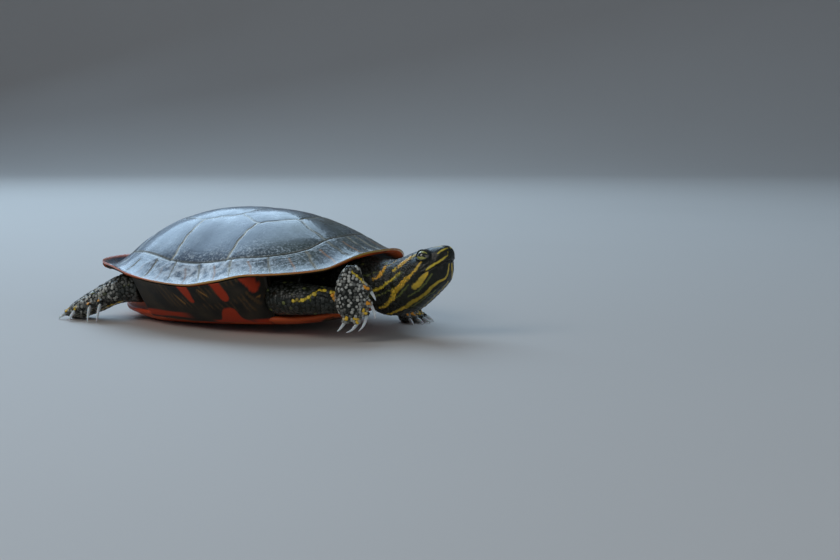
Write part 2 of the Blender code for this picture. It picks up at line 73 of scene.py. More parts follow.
def smooth_through(places, values):
    """A curve through stations: cubic pieces whose slope at each station is the
    harmonic mean of the slopes beside it, or level where they change sign."""
    xs = np.asarray(places, float)
    ys = np.asarray(values, float)
    steps = np.diff(ys) / np.diff(xs)
    same = steps[:-1] * steps[1:] > 0
    middle = np.where(same, 2 * steps[:-1] * steps[1:] / np.where(same, steps[:-1] + steps[1:], 1), 0)
    slopes = np.concatenate([steps[:1], middle, steps[-1:]])

    def value(x):
        x = np.clip(x, xs[0], xs[-1])
        k = np.clip(np.searchsorted(xs, x) - 1, 0, len(xs) - 2)
        width = xs[k + 1] - xs[k]
        t = (x - xs[k]) / width
        near = (2 * t**3 - 3 * t**2 + 1) * ys[k] + (t**3 - 2 * t**2 + t) * width * slopes[k]
        return near + (3 * t**2 - 2 * t**3) * ys[k + 1] + (t**3 - t**2) * width * slopes[k + 1]

    return value


rim_height = smooth_through(RIM_PLACES, RIM_HEIGHTS)


def step(low, high, x):
    """0 below low, 1 above high, and a smooth S between them."""
    t = np.clip((x - low) / (high - low), 0, 1)
    return t * t * (3 - 2 * t)


def ripple(points, size, seed, waves=9):
    """Seeded unevenness between about -1 and 1: a sum of sine waves of roughly
    one size that run in different directions."""
    rng = np.random.default_rng(seed)
    ways = rng.normal(size=(waves, 3))
    ways /= np.linalg.norm(ways, axis=1)[:, None]
    ways *= (2 * np.pi / size) * rng.uniform(0.7, 1.4, size=(waves, 1))
    shifts = rng.uniform(0, 2 * np.pi, size=waves)
    return np.sin(points @ ways.T + shifts).sum(axis=1) / (waves**0.5 * 1.4)


def plan_power(ahead):
    """The plan's superellipse is squarer ahead of the middle than behind it."""
    return np.where(ahead > 0, PLAN_AHEAD, PLAN_BEHIND)


def shell_plan(turn):
    """The shell's plan at an angle from the head, as a superellipse."""
    power = plan_power(np.cos(turn))
    x = HALF_LENGTH * np.sign(np.cos(turn)) * np.abs(np.cos(turn)) ** (2 / power)
    y = HALF_WIDTH * np.sign(np.sin(turn)) * np.abs(np.sin(turn)) ** (2 / power)
    return x, y


def shell_surface(turn, reach):
    """The vault: from the crown (reach 0) to the rim (1) it falls as one minus a
    power of reach, and dips in the ring of marginals before the rim turns out. The
    powers and dips blend by the squared cosine of the turn."""
    x, y = shell_plan(turn)
    ahead = np.clip(np.cos(turn), 0, 1) ** 2
    behind = np.clip(-np.cos(turn), 0, 1) ** 2
    flank = 1 - ahead - behind
    power, dip = (three[0] * ahead + three[1] * flank + three[2] * behind for three in (FALL_POWERS, DIPS))
    rim = rim_height(x)
    rise = np.clip(1 - reach**power, 0, 1) ** 1.17
    z = rim + (CROWN - rim) * rise - dip * reach**DIP_POWER * (1 - reach) / DIP_TOP
    return np.stack([reach * x + CROWN_FORWARD * (1 - reach**2), reach * y, z], axis=-1)


def shell_normals(turn, reach):
    """Outward directions from the slopes along reach and along the turn."""
    inner = np.clip(reach - 0.01, 0.02, NORMAL_REACH)
    out = shell_surface(turn, inner + 0.02) - shell_surface(turn, inner)
    ring = np.maximum(reach, 0.04)
    along = shell_surface(turn + 0.02, ring) - shell_surface(turn - 0.02, ring)
    normal = np.cross(out, along)
    normal /= np.linalg.norm(normal, axis=-1)[..., None]
    return normal * np.sign(normal[..., 2:3] + 1e-9)


def on_shell(plan_points):
    """Turn and reach of points given in plan, by a few steps of substitution."""
    x, y = np.asarray(plan_points, float).T
    reach = np.full(x.shape, 0.5)
    for _ in range(25):
        ahead = x - CROWN_FORWARD * (1 - np.minimum(reach, 1) ** 2)
        power = plan_power(ahead)
        share_x = (np.abs(ahead) / HALF_LENGTH) ** power
        share_y = (np.abs(y) / HALF_WIDTH) ** power
        reach = (share_x + share_y) ** (1 / power)
    turn = np.arctan2(np.sqrt(share_y), np.sqrt(share_x))
    turn = np.where(ahead < 0, np.pi - turn, turn)
    return np.where(y < 0, -turn, turn), np.minimum(reach, 1.0)


def gap_to_lines(points, lines):
    """Shortest distance from each point to any of the open lines."""
    best = np.full(len(points), 1e9)
    for line in lines:
        for a, b in zip(line[:-1], line[1:]):
            way = b - a
            share = np.clip((points - a) @ way / max(way @ way, 1e-9), 0, 1)
            best = np.minimum(best, ((points - a - share[:, None] * way) ** 2).sum(axis=1))
    return np.sqrt(best)


def both_sides(lines):
    """The lines and their mirror images across the animal's middle plane."""
    return lines + [line * np.array([1.0, -1.0, 1.0]) for line in lines]


def distances_along(points):
    """How far along a line each of its points lies."""
    return np.concatenate([[0], np.cumsum(np.linalg.norm(np.diff(points, axis=0), axis=1))])


def densely(line, gap_mm):
    """The line with points no farther apart than about the gap."""
    line = np.asarray(line, float)
    places = distances_along(line)
    stops = np.linspace(0, places[-1], max(2, int(places[-1] / gap_mm) + 1))
    return np.stack([np.interp(stops, places, column) for column in line.T], axis=1)


def lifted(plan_line):
    """A line drawn in plan, laid on the vault in short pieces that waver a little."""
    plan = densely(plan_line, SEAM_PIECE)
    plan += SEAM_WAVER * np.stack([np.sin(plan @ (0.9, 1.3)), np.sin(plan @ (1.1, -0.8))], axis=1)
    return shell_surface(*on_shell(plan))


def add_piece(name, points, quads, tris=None):
    """A mesh piece from arrays of points in millimetres and of corner numbers."""
    parts = [np.asarray(quads, np.int32).reshape(-1, 4)]
    if tris is not None:
        parts.append(np.asarray(tris, np.int32).reshape(-1, 3))
    sizes = np.concatenate([np.full(len(part), part.shape[1], np.int32) for part in parts])
    mesh = bpy.data.meshes.new(name)
    mesh.vertices.add(len(points))
    mesh.vertices.foreach_set("co", metres(points).astype(np.float32).ravel())
    mesh.loops.add(int(sizes.sum()))
    mesh.loops.foreach_set("vertex_index", np.concatenate([part.ravel() for part in parts]))
    mesh.polygons.add(len(sizes))
    mesh.polygons.foreach_set("loop_start", np.concatenate([[0], np.cumsum(sizes)[:-1]]).astype(np.int32))
    mesh.update(calc_edges=True)
    mesh.validate()
    mesh.polygons.foreach_set("use_smooth", np.ones(len(mesh.polygons), bool))
    piece = bpy.data.objects.new(name, mesh)
    bpy.context.collection.objects.link(piece)
    return piece


def add_masks(piece, **masks):
    """Numbers for every vertex, kept as attributes that a material can read."""
    for name, values in masks.items():
        mask = piece.data.attributes.new(name, "FLOAT", "POINT")
        mask.data.foreach_set("value", np.asarray(values, np.float32))


def ring_quads(rows, columns, start=0):
    """Faces of stacked rings: rows of columns points, closed round each ring."""
    r, c = np.meshgrid(np.arange(rows - 1), np.arange(columns), indexing="ij")
    after = (c + 1) % columns
    corners = [r * columns + c, (r + 1) * columns + c, (r + 1) * columns + after, r * columns + after]
    return np.stack(corners, axis=-1).reshape(-1, 4) + start


# Seams of the right side in plan: the edges of the plates down the back, the
# cross seams of the flank, and the seams of the rim plates.
BACK_SEAMS = [
    [(53, -14), (43, -12), (35, -8), (22, -20), (9.5, -13), (-7, -19), (-22, -13), (-34, -19), (-46, -10),
     (-56.5, -15)],
    [(35, -8), (36, 0)],
    [(9.5, -13), (11, -6), (10.5, 0)],
    [(-22, -13), (-23.5, -6), (-23, 0)],
    [(-46, -10), (-47, 0)],
]
FLANK_SEAMS = [
    [(22, -20), (21.3, -29), (21.5, -39.3)],
    [(-7, -19), (-7.5, -29), (-7, -39.5)],
    [(-34, -19), (-36, -27), (-37.5, -33.5)],
]
RIM_SEAMS = [
    [(53, -2.6), (69.9, -3.2)],
    [(53, -14), (65, -15)],
    [(49.5, -23.5), (54, -26.5), (59, -29.5)],
    [(38.8, -34.5), (45, -41)],
    [(23.5, -39.2), (28, -45.5)],
    [(9, -40.6), (13.5, -48.2)],
    [(-4, -40.4), (-2, -49.4)],
    [(-15, -39.2), (-16.5, -48.4)],
    [(-27, -36.6), (-31, -44.8)],
    [(-38, -32.6), (-44, -38.6)],
    [(-47.5, -26.5), (-55.5, -30.4)],
    [(-54, -17), (-64.5, -19.2)],
    [(-57.6, 0), (-70, 0)],
]
EDGE_TURNS = np.radians((0, 12, 30, 42, 63, 73, 96, 114, 135, 160, 180))
EDGE_REACHES = (0.755, 0.755, 0.78, 0.80, 0.82, 0.81, 0.81, 0.79, 0.80, 0.80, 0.80)
reach_of_edge = smooth_through(EDGE_TURNS, EDGE_REACHES)
edge_turns = np.linspace(0, np.pi, 90)
flank_edge = shell_surface(-edge_turns, reach_of_edge(edge_turns))
back_lines = both_sides([lifted(line) for line in BACK_SEAMS])
flank_lines = both_sides([lifted(line) for line in FLANK_SEAMS])
rim_lines = both_sides([lifted(line) for line in RIM_SEAMS])
edge_lines = both_sides([flank_edge])

# The upper face is a square grid drawn onto the disc of the plan, so its cells
# are even from crown to rim; the rim and the underside follow as rings.
CELLS_LONG = 330
CELLS_WIDE = 236
u, v = np.meshgrid(np.linspace(-1, 1, CELLS_LONG + 1), np.linspace(-1, 1, CELLS_WIDE + 1), indexing="ij")
disc_x = u * np.sqrt(1 - v**2 / 2)
disc_y = v * np.sqrt(1 - u**2 / 2)
turn = np.arctan2(disc_y, disc_x).ravel()
reach = np.minimum(np.hypot(disc_x, disc_y).ravel(), 1.0)
vault = shell_surface(turn, reach)
vault_normal = shell_normals(turn, reach)

to_back = gap_to_lines(vault, back_lines)
to_flank = gap_to_lines(vault, flank_lines)
to_rim = gap_to_lines(vault, rim_lines)
to_edge = gap_to_lines(vault, edge_lines)
to_seam = np.minimum(np.minimum(to_back, to_flank), np.minimum(to_rim, to_edge))
on_rim = step(-0.004, 0.004, reach - reach_of_edge(np.abs(turn)))
seam_width = 0.36 + 0.08 * ripple(vault, 9, 3)
groove = np.exp(-((to_seam / seam_width) ** 2))
swell = 1 - np.exp(-to_seam / 3.5)
growth = np.sin(2 * np.pi * (to_seam + 0.5 * ripple(vault, 14, 5)) / GROWTH_STEP) * np.exp(-to_seam / 5.5)
fade_rim = 1 - step(0.93, 1.0, reach)
relief = -GROOVE_DEPTH * groove + PLATE_SWELL * swell - 0.2 + GROWTH_HEIGHT * growth
relief += 0.10 * ripple(vault, 16, 7) + 0.022 * ripple(vault, 2.6, 8) * (0.4 + on_rim)
relief *= 0.25 + 0.75 * fade_rim
vault = vault + relief[:, None] * vault_normal

# The rim's boundary, walked round the grid's border, then under and inwards.
index = np.arange((CELLS_LONG + 1) * (CELLS_WIDE + 1)).reshape(CELLS_LONG + 1, CELLS_WIDE + 1)
border = np.concatenate([index[:-1, 0], index[-1, :-1], index[:0:-1, -1], index[0, :0:-1]])
border_turn = turn[border]
UNDER_RINGS = [(0.996, 0.75), (0.99, 1.3), (0.975, 1.62), (0.95, 1.85), (0.91, 2.1), (0.85, SHELL_THICK),
               (0.7, SHELL_THICK), (0.45, SHELL_THICK), (0.2, SHELL_THICK)]   # reach, depth under the vault
inside = []
for ring_reach, depth in UNDER_RINGS:
    spot = np.full(len(border), ring_reach)
    inside.append(shell_surface(border_turn, spot)
                  - depth * shell_normals(border_turn, np.minimum(spot, NORMAL_REACH)))
shell_points = np.concatenate([vault, *inside, shell_surface(np.zeros(1), np.zeros(1)) - (0, 0, SHELL_THICK)])
upper = np.stack([index[:-1, :-1], index[1:, :-1], index[1:, 1:], index[:-1, 1:]], axis=-1).reshape(-1, 4)
base = len(vault)
count = len(border)
here = np.arange(count)
after = (here + 1) % count
lip = np.stack([np.roll(border, -1), border, base + here, base + after], axis=1)
inner = ring_quads(len(UNDER_RINGS), count, base)[:, [3, 0, 1, 2]]
last = base + (len(UNDER_RINGS) - 1) * count
fan = np.stack([last + after, last + here, np.full(count, len(shell_points) - 1)], axis=1)
carapace = add_piece("carapace_horn", shell_points, np.concatenate([upper, lip, inner]), fan)


def whole(values, elsewhere=0.0):
    """Values of the upper face from 0 to 1, and one value for the rest of the piece."""
    return np.concatenate([np.clip(values, 0, 1), np.full(len(shell_points) - base, elsewhere)])


# Pale seams, broadest across the back and round the rim plates, some with a dark
# line along their middle.
pale = np.maximum(0.6 * step(0.6, 0.25, to_back), step(0.66, 0.3, to_flank)) * (1 - on_rim)
pale = np.maximum(pale, (0.75 - 0.4 * step(-30, 5, vault[:, 0])) * step(0.85, 0.5, to_edge))
wide = np.clip(0.6 + 0.3 * ripple(vault, 22, 11), 0.3, 1.0)
pale = np.maximum(pale, 0.8 * on_rim * step(wide, 0.4 * wide, to_rim))
dark = np.maximum(step(0.5, 0.2, to_edge), 0.8 * on_rim * step(0.28, 0.1, to_rim))
dark = np.maximum(dark, 0.35 * step(0.2, 0.05, np.minimum(to_back, to_flank)))
# A red bow stands on every rim plate but the narrow one in front, about half-way
# between its seams.
rim_marks = []
for one, two in zip(RIM_SEAMS[:-1], RIM_SEAMS[1:]):
    middle_line = (np.asarray(one[:1] + one[-1:], float) + np.asarray(two[:1] + two[-1:], float)) / 2
    bow = middle_line[0] + (middle_line[1] - middle_line[0]) * np.array([[0.25], [0.5], [0.75], [1.1]])
    bow[1:3, 0] += 0.9
    rim_marks.append(lifted(bow))
to_mark = gap_to_lines(vault, both_sides(rim_marks))
red = on_rim * step(0.5, 0.2, to_mark) * (0.35 + 0.5 * step(-10, 20, vault[:, 0]))
rim_edge = step(0.989, 0.995, reach + 0.003 * ripple(vault, 6, 13))
# Greener, darker horn over the shoulders, and a zone of pale wrinkles, a painted highlight,
# on the low flank plates and the ring of marginals, thickest half-way along.
plain = (1 - red) * (1 - rim_edge)
green = step(20, 44, vault[:, 0]) * (0.85 + 0.3 * ripple(vault, 17, 18))
worn = step(0.62, 0.80, reach + 0.05 * ripple(vault, 12, 17)) * plain
worn *= 0.3 + 0.7 * np.exp(-(((vault[:, 0] - 22) / 32) ** 4))
# A painted whitish sheen in streaks on the marginals about the middle.
bright = np.exp(-(((vault[:, 0] - 10) / 22) ** 2)) * on_rim * plain
bright *= step(0.1, 0.9, ripple(vault * (1, 1.6, 1), 6, 15, 14) + 0.8)
add_masks(carapace, pale_seam=whole(pale), dark_seam=whole(dark), red_mark=whole(red), green=whole(green),
          worn=whole(worn), bright=whole(bright), rim_edge=whole(rim_edge, 1.0),
          forward=step(-50, 45, shell_points[:, 0]))


class Finish:
    """A node material being put together, with short names for its nodes. A share
    or a colour is a node's output; a share may also be the name of a mask."""

    def __init__(self, name, roughness=0.4, **fixed):
        self.material = bpy.data.materials.new(name)
        self.material.use_nodes = True
        self.tree = self.material.node_tree
        self.shader = self.tree.nodes["Principled BSDF"]
        self.shader.inputs["Roughness"].default_value = roughness
        for socket, value in fixed.items():
            self.shader.inputs[socket.replace("_", " ")].default_value = value
        self.place = self.tree.nodes.new("ShaderNodeTexCoord").outputs["Object"]

    def node(self, kind, **sockets):
        """A node with its sockets linked to outputs or set to values."""
        made = self.tree.nodes.new(kind)
        for socket, source in sockets.items():
            self.feed(made.inputs[socket.replace("_", " ")], source)
        return made

    def feed(self, socket, source):
        """One socket: a mask's or a node's output, a colour, or a plain number."""
        if isinstance(source, str):
            source = self.mask(source)
        if isinstance(source, bpy.types.NodeSocket):
            self.tree.links.new(source, socket)
        else:
            socket.default_value = (*source, 1.0) if isinstance(source, tuple) else source

    def noise(self, scale, detail=3.0, rough=0.5):
        """Cloudy noise of about this many cells to a metre."""
        return self.node("ShaderNodeTexNoise", Scale=scale, Detail=detail, Roughness=rough,
                         Vector=self.place).outputs["Fac"]

    def cells(self, scale):
        """Small domes, highest in the middle of each cell."""
        away = self.node("ShaderNodeTexVoronoi", Scale=scale, Vector=self.place).outputs["Distance"]
        return self.spread(away, 0.0, 0.6, 1.0, 0.0)

    def mask(self, name):
        """The piece's own attribute of this name."""
        node = self.node("ShaderNodeAttribute")
        node.attribute_name = name
        return node.outputs["Fac"]

    def spread(self, source, low, high, to_low=0.0, to_high=1.0):
        """The stretch from low to high as to_low to to_high, clamped."""
        return self.node("ShaderNodeMapRange", From_Min=low, From_Max=high, To_Min=to_low, To_Max=to_high,
                         Value=source).outputs["Result"]

    def patches(self, scale, low, high, to_low=0.0, to_high=1.0, detail=4, rough=0.5):
        """Noise as soft-edged patches: the more, the lower the stretch."""
        return self.spread(self.noise(scale, detail, rough), low, high, to_low, to_high)

    def times(self, first, *others):
        """The product of shares and numbers."""
        for other in others:
            node = self.node("ShaderNodeMath")
            node.operation = "MULTIPLY"
            self.feed(node.inputs[0], first)
            self.feed(node.inputs[1], other)
            first = node.outputs["Value"]
        return first

    def mix(self, share, one, two):
        """From colour one to colour two by a share."""
        node = self.node("ShaderNodeMix")
        node.data_type = "RGBA"
        for socket, source in ((node.inputs["Factor"], share), (node.inputs[6], one), (node.inputs[7], two)):
            self.feed(socket, source)
        return node.outputs[2]

    def layers(self, colour, *tops):
        """A colour under others, each laid over it by its own share."""
        for share, top in tops:
            colour = self.mix(share, colour, top)
        return colour

    def bump(self, height, distance, strength=1.0, after=None):
        """Relief in metres, laid over the one given."""
        node = self.node("ShaderNodeBump", Distance=distance, Strength=strength, Height=height)
        if after is not None:
            self.feed(node.inputs["Normal"], after)
        return node.outputs["Normal"]

    def close(self, colour, roughness=None, normal=None):
        """The finished material."""
        for socket, source in (("Base Color", colour), ("Roughness", roughness), ("Normal", normal)):
            if source is not None:
                self.feed(self.shader.inputs[socket], source)
        return self.material


horn = Finish("shell_horn_wet", 0.3, Coat_Weight=0.35, Coat_Roughness=0.12, IOR=1.5)
# The base is a dark blue-grey slate: the horn's own dark olive-black with a painted blue sky reflection mixed
# into the colour.
colour = horn.mix(horn.patches(55, 0.35, 0.68, rough=0.6), (0.038, 0.062, 0.105), (0.062, 0.090, 0.130))
streaks = horn.patches(480, 0.38, 0.58, 0.25, 1.0, rough=0.65)
wrinkles = horn.patches(1050, 0.51, 0.58, detail=5, rough=0.7)
edge_colour = horn.layers(
    (0.68, 0.22, 0.15), ("forward", (0.52, 0.34, 0.06)),
    (horn.patches(38, 0.42, 0.6, 0.0, 0.6, detail=2), (0.62, 0.12, 0.03)))
# Among these layers are a painted whitish sheen and painted pale wrinkle highlights.
colour = horn.layers(
    colour,
    (horn.times("green", 0.8), (0.048, 0.066, 0.044)),
    (horn.times("bright", streaks), (0.72, 0.78, 0.84)),
    (horn.times("worn", wrinkles, 0.85), (0.50, 0.56, 0.60)),
    (horn.times(horn.patches(420, 0.52, 0.7, detail=3), 0.25), (0.16, 0.20, 0.24)),
    ("pale_seam", (0.46, 0.43, 0.32)), ("red_mark", (0.40, 0.20, 0.09)), ("dark_seam", (0.020, 0.022, 0.014)),
    ("rim_edge", edge_colour))
fine = horn.bump(horn.noise(900, 4, 0.6), 0.00012, 0.5)
dented = horn.bump(horn.noise(210, 3, 0.5), 0.0003, 0.35, fine)
carapace.data.materials.append(horn.close(colour, horn.patches(130, 0.3, 0.75, 0.2, 0.42), dented))
# The underside is matt: black-brown, with red bars that run in from the rim and a
# red-orange lining under the front plates.
ring_turn = np.tile(border_turn, len(UNDER_RINGS))
ring_reach = np.repeat([spot for spot, _ in UNDER_RINGS], count)
lining = step(0.5, 0.3, np.abs(ring_turn)) * step(0.88, 0.94, ring_reach)
bars = step(0.25, 0.75, np.sin(12.5 * ring_turn + 0.6)) * step(0.86, 0.90, ring_reach)
bars *= step(0.9, 1.1, np.abs(ring_turn))
lining = np.maximum(lining, 0.7 * bars) * (1 - 0.75 * step(0.2, 0.9, ripple(shell_points[base:-1], 8, 19)))
add_masks(carapace, lining=np.concatenate([np.zeros(base), lining, [0.0]]))
under = Finish("shell_underside", 0.8, Specular_IOR_Level=0.05)
colour = under.mix(under.patches(120, 0.35, 0.7), (0.010, 0.009, 0.007), (0.035, 0.022, 0.012))
carapace.data.materials.append(under.close(under.mix("lining", colour, (0.52, 0.085, 0.016))))
slots = np.zeros(len(carapace.data.polygons), np.int32)
slots[len(upper) + count:] = 1
carapace.data.polygons.foreach_set("material_index", slots)
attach(carapace, "root")
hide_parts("carapace")

# --- Plastron --------------------------------------------------------------------
# The lower shell: a flat plate of bone under red-orange horn, six pairs of plates
# with thin seams and a dark branching figure, turned up a little all round.

PLASTRON_PLACES = (-61, -56, -46, -30, 0, 36, 47, 55, 60, 63)
PLASTRON_WIDTHS = (5.0, 14.0, 24.0, 31.0, 33.5, 30.0, 27.0, 21.5, 15.0, 6.0)
PLASTRON_MIDDLE = 1.0         # along the body
PLASTRON_HALF = 62.0
PLASTRON_THICK = 2.8
KEEL_SLOPE = 0.048            # ahead of the level part
LEVEL_TO = -33
NOSE_FROM, NOSE_RUN, NOSE_RISE = 44, 19, 2.0
TAIL_FROM, TAIL_RUN, TAIL_RISE = -45, -16, 2.4
EDGE_LIFT = 2.6
REAR_EDGE_LIFT = 1.8          # more than that, reached over a run behind a start
REAR_LIFT_START = 8
REAR_LIFT_RUN = 40
PLATE_TURNS = 420
plastron_width = smooth_through(PLASTRON_PLACES, PLASTRON_WIDTHS)


def keel_height(x):
    """Height of the plate's middle: level behind, a gentle slope ahead, and a lobe
    at each end that turns up as the square of the way into it."""
    nose = NOSE_RISE * np.clip((x - NOSE_FROM) / NOSE_RUN, 0, None) ** 2
    tail = TAIL_RISE * np.clip((x - TAIL_FROM) / TAIL_RUN, 0, None) ** 2
    return KEEL_SLOPE * np.clip(x - LEVEL_TO, 0, None) + nose + tail


def edge_lift(x):
    """How far the plate's edge turns up: more towards the rear."""
    return EDGE_LIFT + REAR_EDGE_LIFT * np.clip((REAR_LIFT_START - x) / REAR_LIFT_RUN, 0, 1)


def plastron_face(angle, spread, thick):
    """A face of the plate: its outline shrunk towards the middle by spread, and
    lifted towards the edge; thick is the height above the lower face."""
    edge_x = PLASTRON_MIDDLE + PLASTRON_HALF * np.cos(angle)
    x = PLASTRON_MIDDLE + (edge_x - PLASTRON_MIDDLE) * spread
    y = np.sign(np.sin(angle)) * plastron_width(edge_x) * spread
    z = keel_height(x) + edge_lift(x) * np.clip((spread - 0.72) / 0.28, 0, 1) ** 1.6 + thick
    return np.stack(np.broadcast_arrays(x, y, z), axis=-1)


angles = 2 * np.pi * (np.arange(PLATE_TURNS) + 0.5) / PLATE_TURNS
spreads = np.linspace(0.012, 0.985, 96)
lower = plastron_face(angles[None, :], spreads[:, None], 0.0)
EDGE_RINGS = [(0.994, 0.18), (1.0, 0.7), (0.998, 1.25), (0.985, 1.8), (0.96, 2.35), (0.9, 2.75),
              (0.7, PLASTRON_THICK), (0.35, PLASTRON_THICK), (0.02, PLASTRON_THICK)]   # spread, thickness
upper = np.stack([plastron_face(angles, spread, thick) for spread, thick in EDGE_RINGS])
plate = np.concatenate([lower, upper]).reshape(-1, 3)
PLATE_SEAMS = [
    [(63, 0, 0), (30, 0.5, 0), (0, -0.6, 0), (-30, 0.5, 0), (-61, 0, 0)],
    [(46, 0, 0), (52, -8, 0), (58, -17, 0)],
    [(33, 0, 0), (31, -14, 0), (37, -33, 0)],
    [(12, 0, 0), (10, -16, 0), (13, -36, 0)],
    [(-17, 0, 0), (-16, -16, 0), (-20, -36, 0)],
    [(-34, 0, 0), (-38, -12, 0), (-47, -27, 0)],
]
plate_lines = both_sides([np.asarray(line, float) for line in PLATE_SEAMS])
flat = plate * (1, 1, 0)
waver = 0.5 * np.stack([ripple(flat, 13, 21), ripple(flat, 12, 22), 0 * flat[:, 0]], 1)
to_plate_seam = gap_to_lines(flat + waver, plate_lines)
to_midline = np.abs(flat[:, 1])
is_lower = np.concatenate([np.ones(lower.shape[0] * PLATE_TURNS), np.zeros(upper.shape[0] * PLATE_TURNS)])
CLEAR = 0.04                  # the lower face's height over the smooth form between its seams
growth_rings = 0.02 * np.sin(2 * np.pi * to_plate_seam / 1.6) * np.exp(-to_plate_seam / 6)
plate[:, 2] += is_lower * (0.22 * np.exp(-((to_plate_seam / 0.4) ** 2)) + growth_rings + CLEAR)
plate[:, 2] = np.maximum(plate[:, 2], 0.0)
poles = [[PLASTRON_MIDDLE, 0.0, keel_height(PLASTRON_MIDDLE) + height] for height in (CLEAR, PLASTRON_THICK)]
here = np.arange(PLATE_TURNS)
after = (here + 1) % PLATE_TURNS
rings = len(plate) // PLATE_TURNS
last = (rings - 1) * PLATE_TURNS
caps = np.concatenate([np.stack([np.full(PLATE_TURNS, len(plate)), after, here], 1),
                       np.stack([np.full(PLATE_TURNS, len(plate) + 1), last + here, last + after], 1)])
plastron = add_piece("plastron_horn", np.concatenate([plate, poles]),
                     ring_quads(rings, PLATE_TURNS)[:, [0, 3, 2, 1]], caps)
# The figure runs along the middle and branches out along the cross seams.
branch = 2.6 + 1.6 * ripple(flat, 12, 23) + 2.4 * np.exp(-((to_midline - 14) / 9.0) ** 2)
figure = step(1.2, -0.4, to_midline - 5.5 - 2.0 * ripple(flat, 15, 24))
figure = np.maximum(figure, step(0.8, -0.6, to_plate_seam - branch) * step(25, 20, to_midline))
figure *= is_lower * step(-57, -50, flat[:, 0]) * step(59, 53, flat[:, 0])
# The sides, where the bridges rise, are as dark as the bridges.
spread_here = np.repeat(np.concatenate([spreads, [spread for spread, _ in EDGE_RINGS]]), PLATE_TURNS)
side_dark = step(0.88, 0.94, spread_here + 0.02 * ripple(flat, 9, 26)) * (to_midline > 10)
side_dark *= step(-20, -12, flat[:, 0]) * step(19, 15, flat[:, 0])
figure = np.maximum(figure, side_dark)
hollow_middle = step(0.5, 1.5, ripple(flat, 9, 25) + 1.2 - 0.22 * to_midline) * figure
add_masks(plastron, seam=np.append(step(0.6, 0.25, to_plate_seam) * is_lower, (1, 0)),
          figure=np.append(figure, (1, 0)), figure_middle=np.append(hollow_middle, (0, 0)))

plate_horn = Finish("plastron_horn_red", 0.45, Specular_IOR_Level=0.3)
red_horn = plate_horn.mix(plate_horn.patches(60, 0.35, 0.7), (0.50, 0.055, 0.012), (0.62, 0.115, 0.022))
dark_horn = plate_horn.mix(plate_horn.patches(160, 0.4, 0.7), (0.035, 0.030, 0.014), (0.085, 0.065, 0.025))
colour = plate_horn.layers(red_horn, ("figure", dark_horn), ("figure_middle", (0.40, 0.27, 0.08)),
                           ("seam", (0.11, 0.03, 0.012)))
plate_bump = plate_horn.bump(plate_horn.noise(700, 4, 0.6), 0.0001, 0.4)
plate_rough = plate_horn.patches(90, 0.3, 0.7, 0.38, 0.55, detail=3)
plastron.data.materials.append(plate_horn.close(colour, plate_rough, plate_bump))
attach(plastron, "root")
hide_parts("plastron")

# --- Bridges ---------------------------------------------------------------------
# The walls of horn-covered bone that join the upper shell to the lower one between
# the legs: dark, with red bars that hang from the rim and black ovals between.

BRIDGE_REAR = -27.0
BRIDGE_FRONT = 36.0
BRIDGE_PAST = 1.5             # how far the wall runs on past each end
CURL_DEPTH = 9.0
CURL_RUN = 5.5
CURL_START = 4.0              # before each end
# Each bar: its top and bottom middles, and its half widths there.
RED_BARS = [((5.6, -49, 20.9), (7.0, -43.6, 14.4), 3.1, 1.5),
            ((21.6, -48.5, 23.2), (23.6, -42.6, 16.0), 2.6, 2.1),
            ((34.6, -44, 25), (35.6, -39, 20.6), 2.6, 2.0)]
LOBE_PLACE, LOBE_HALF, LOBE_HEIGHT = 20.0, 4.4, 5.2
THIN_LINES = [((13.2, -47, 19.0), (19.6, -42, 12)), ((31, -40, 15.6), (36, -36, 16.6)),
              ((26, -43, 18.5), (33, -39.5, 19.8)), ((-2, -47, 18.5), (2.4, -42.6, 12))]


def vault_roof(x, y):
    """Height of the underside of the upper shell over a place in plan."""
    turn_here, reach_here = on_shell(np.stack([x, y], axis=-1).reshape(-1, 2))
    top = shell_surface(turn_here, reach_here)
    lean = shell_normals(turn_here, np.minimum(reach_here, NORMAL_REACH))
    return (top[:, 2] - SHELL_THICK / np.maximum(lean[:, 2], 0.35)).reshape(np.shape(x))


def bridge_wall(side):
    """The wall as a closed skin: a bowed profile from the plastron's edge to under
    the rim, carried along the flank; at both ends it curls in to the vault."""
    along = np.linspace(0, 1, 150)
    x = BRIDGE_REAR - BRIDGE_PAST + (BRIDGE_FRONT - BRIDGE_REAR + 2 * BRIDGE_PAST) * along
    curl = sum(CURL_DEPTH * np.clip((past + CURL_START) / CURL_RUN, 0, 1) ** 2
               for past in (BRIDGE_REAR - x, x - BRIDGE_FRONT))
    share = np.linspace(0, 1, 44)
    near = plastron_width(x) + 0.15
    far = rim_edge_y(x) - 0.9
    low = keel_height(x) + edge_lift(x) - 0.6
    top = rim_height(x) - RIM_THICK + 0.25
    y = near[:, None] + (far - near)[:, None] * share
    z = low[:, None] + (top - low)[:, None] * share**1.25
    y = y - curl[:, None] * (0.35 + 0.65 * share)
    lift = vault_roof(x, -(y[:, -1] - 1.0)) - top + 0.3
    z = z + (np.clip(lift, 0, None) * (curl > 0.3))[:, None] * share**2
    xs = np.broadcast_to(x[:, None], y.shape)
    outer = np.stack([xs, side * y, z], -1)
    back = np.stack([xs, side * (y - 1.6 - 0.5 * share), z + 0.9 * (1 - share)], -1)
    return np.concatenate([outer, back[:, ::-1]], axis=1)


def rim_edge_y(x):
    """Half width of the shell's plan at a station along its length."""
    power = plan_power(x)
    return HALF_WIDTH * (1 - (np.abs(x) / HALF_LENGTH) ** power) ** (1 / power)


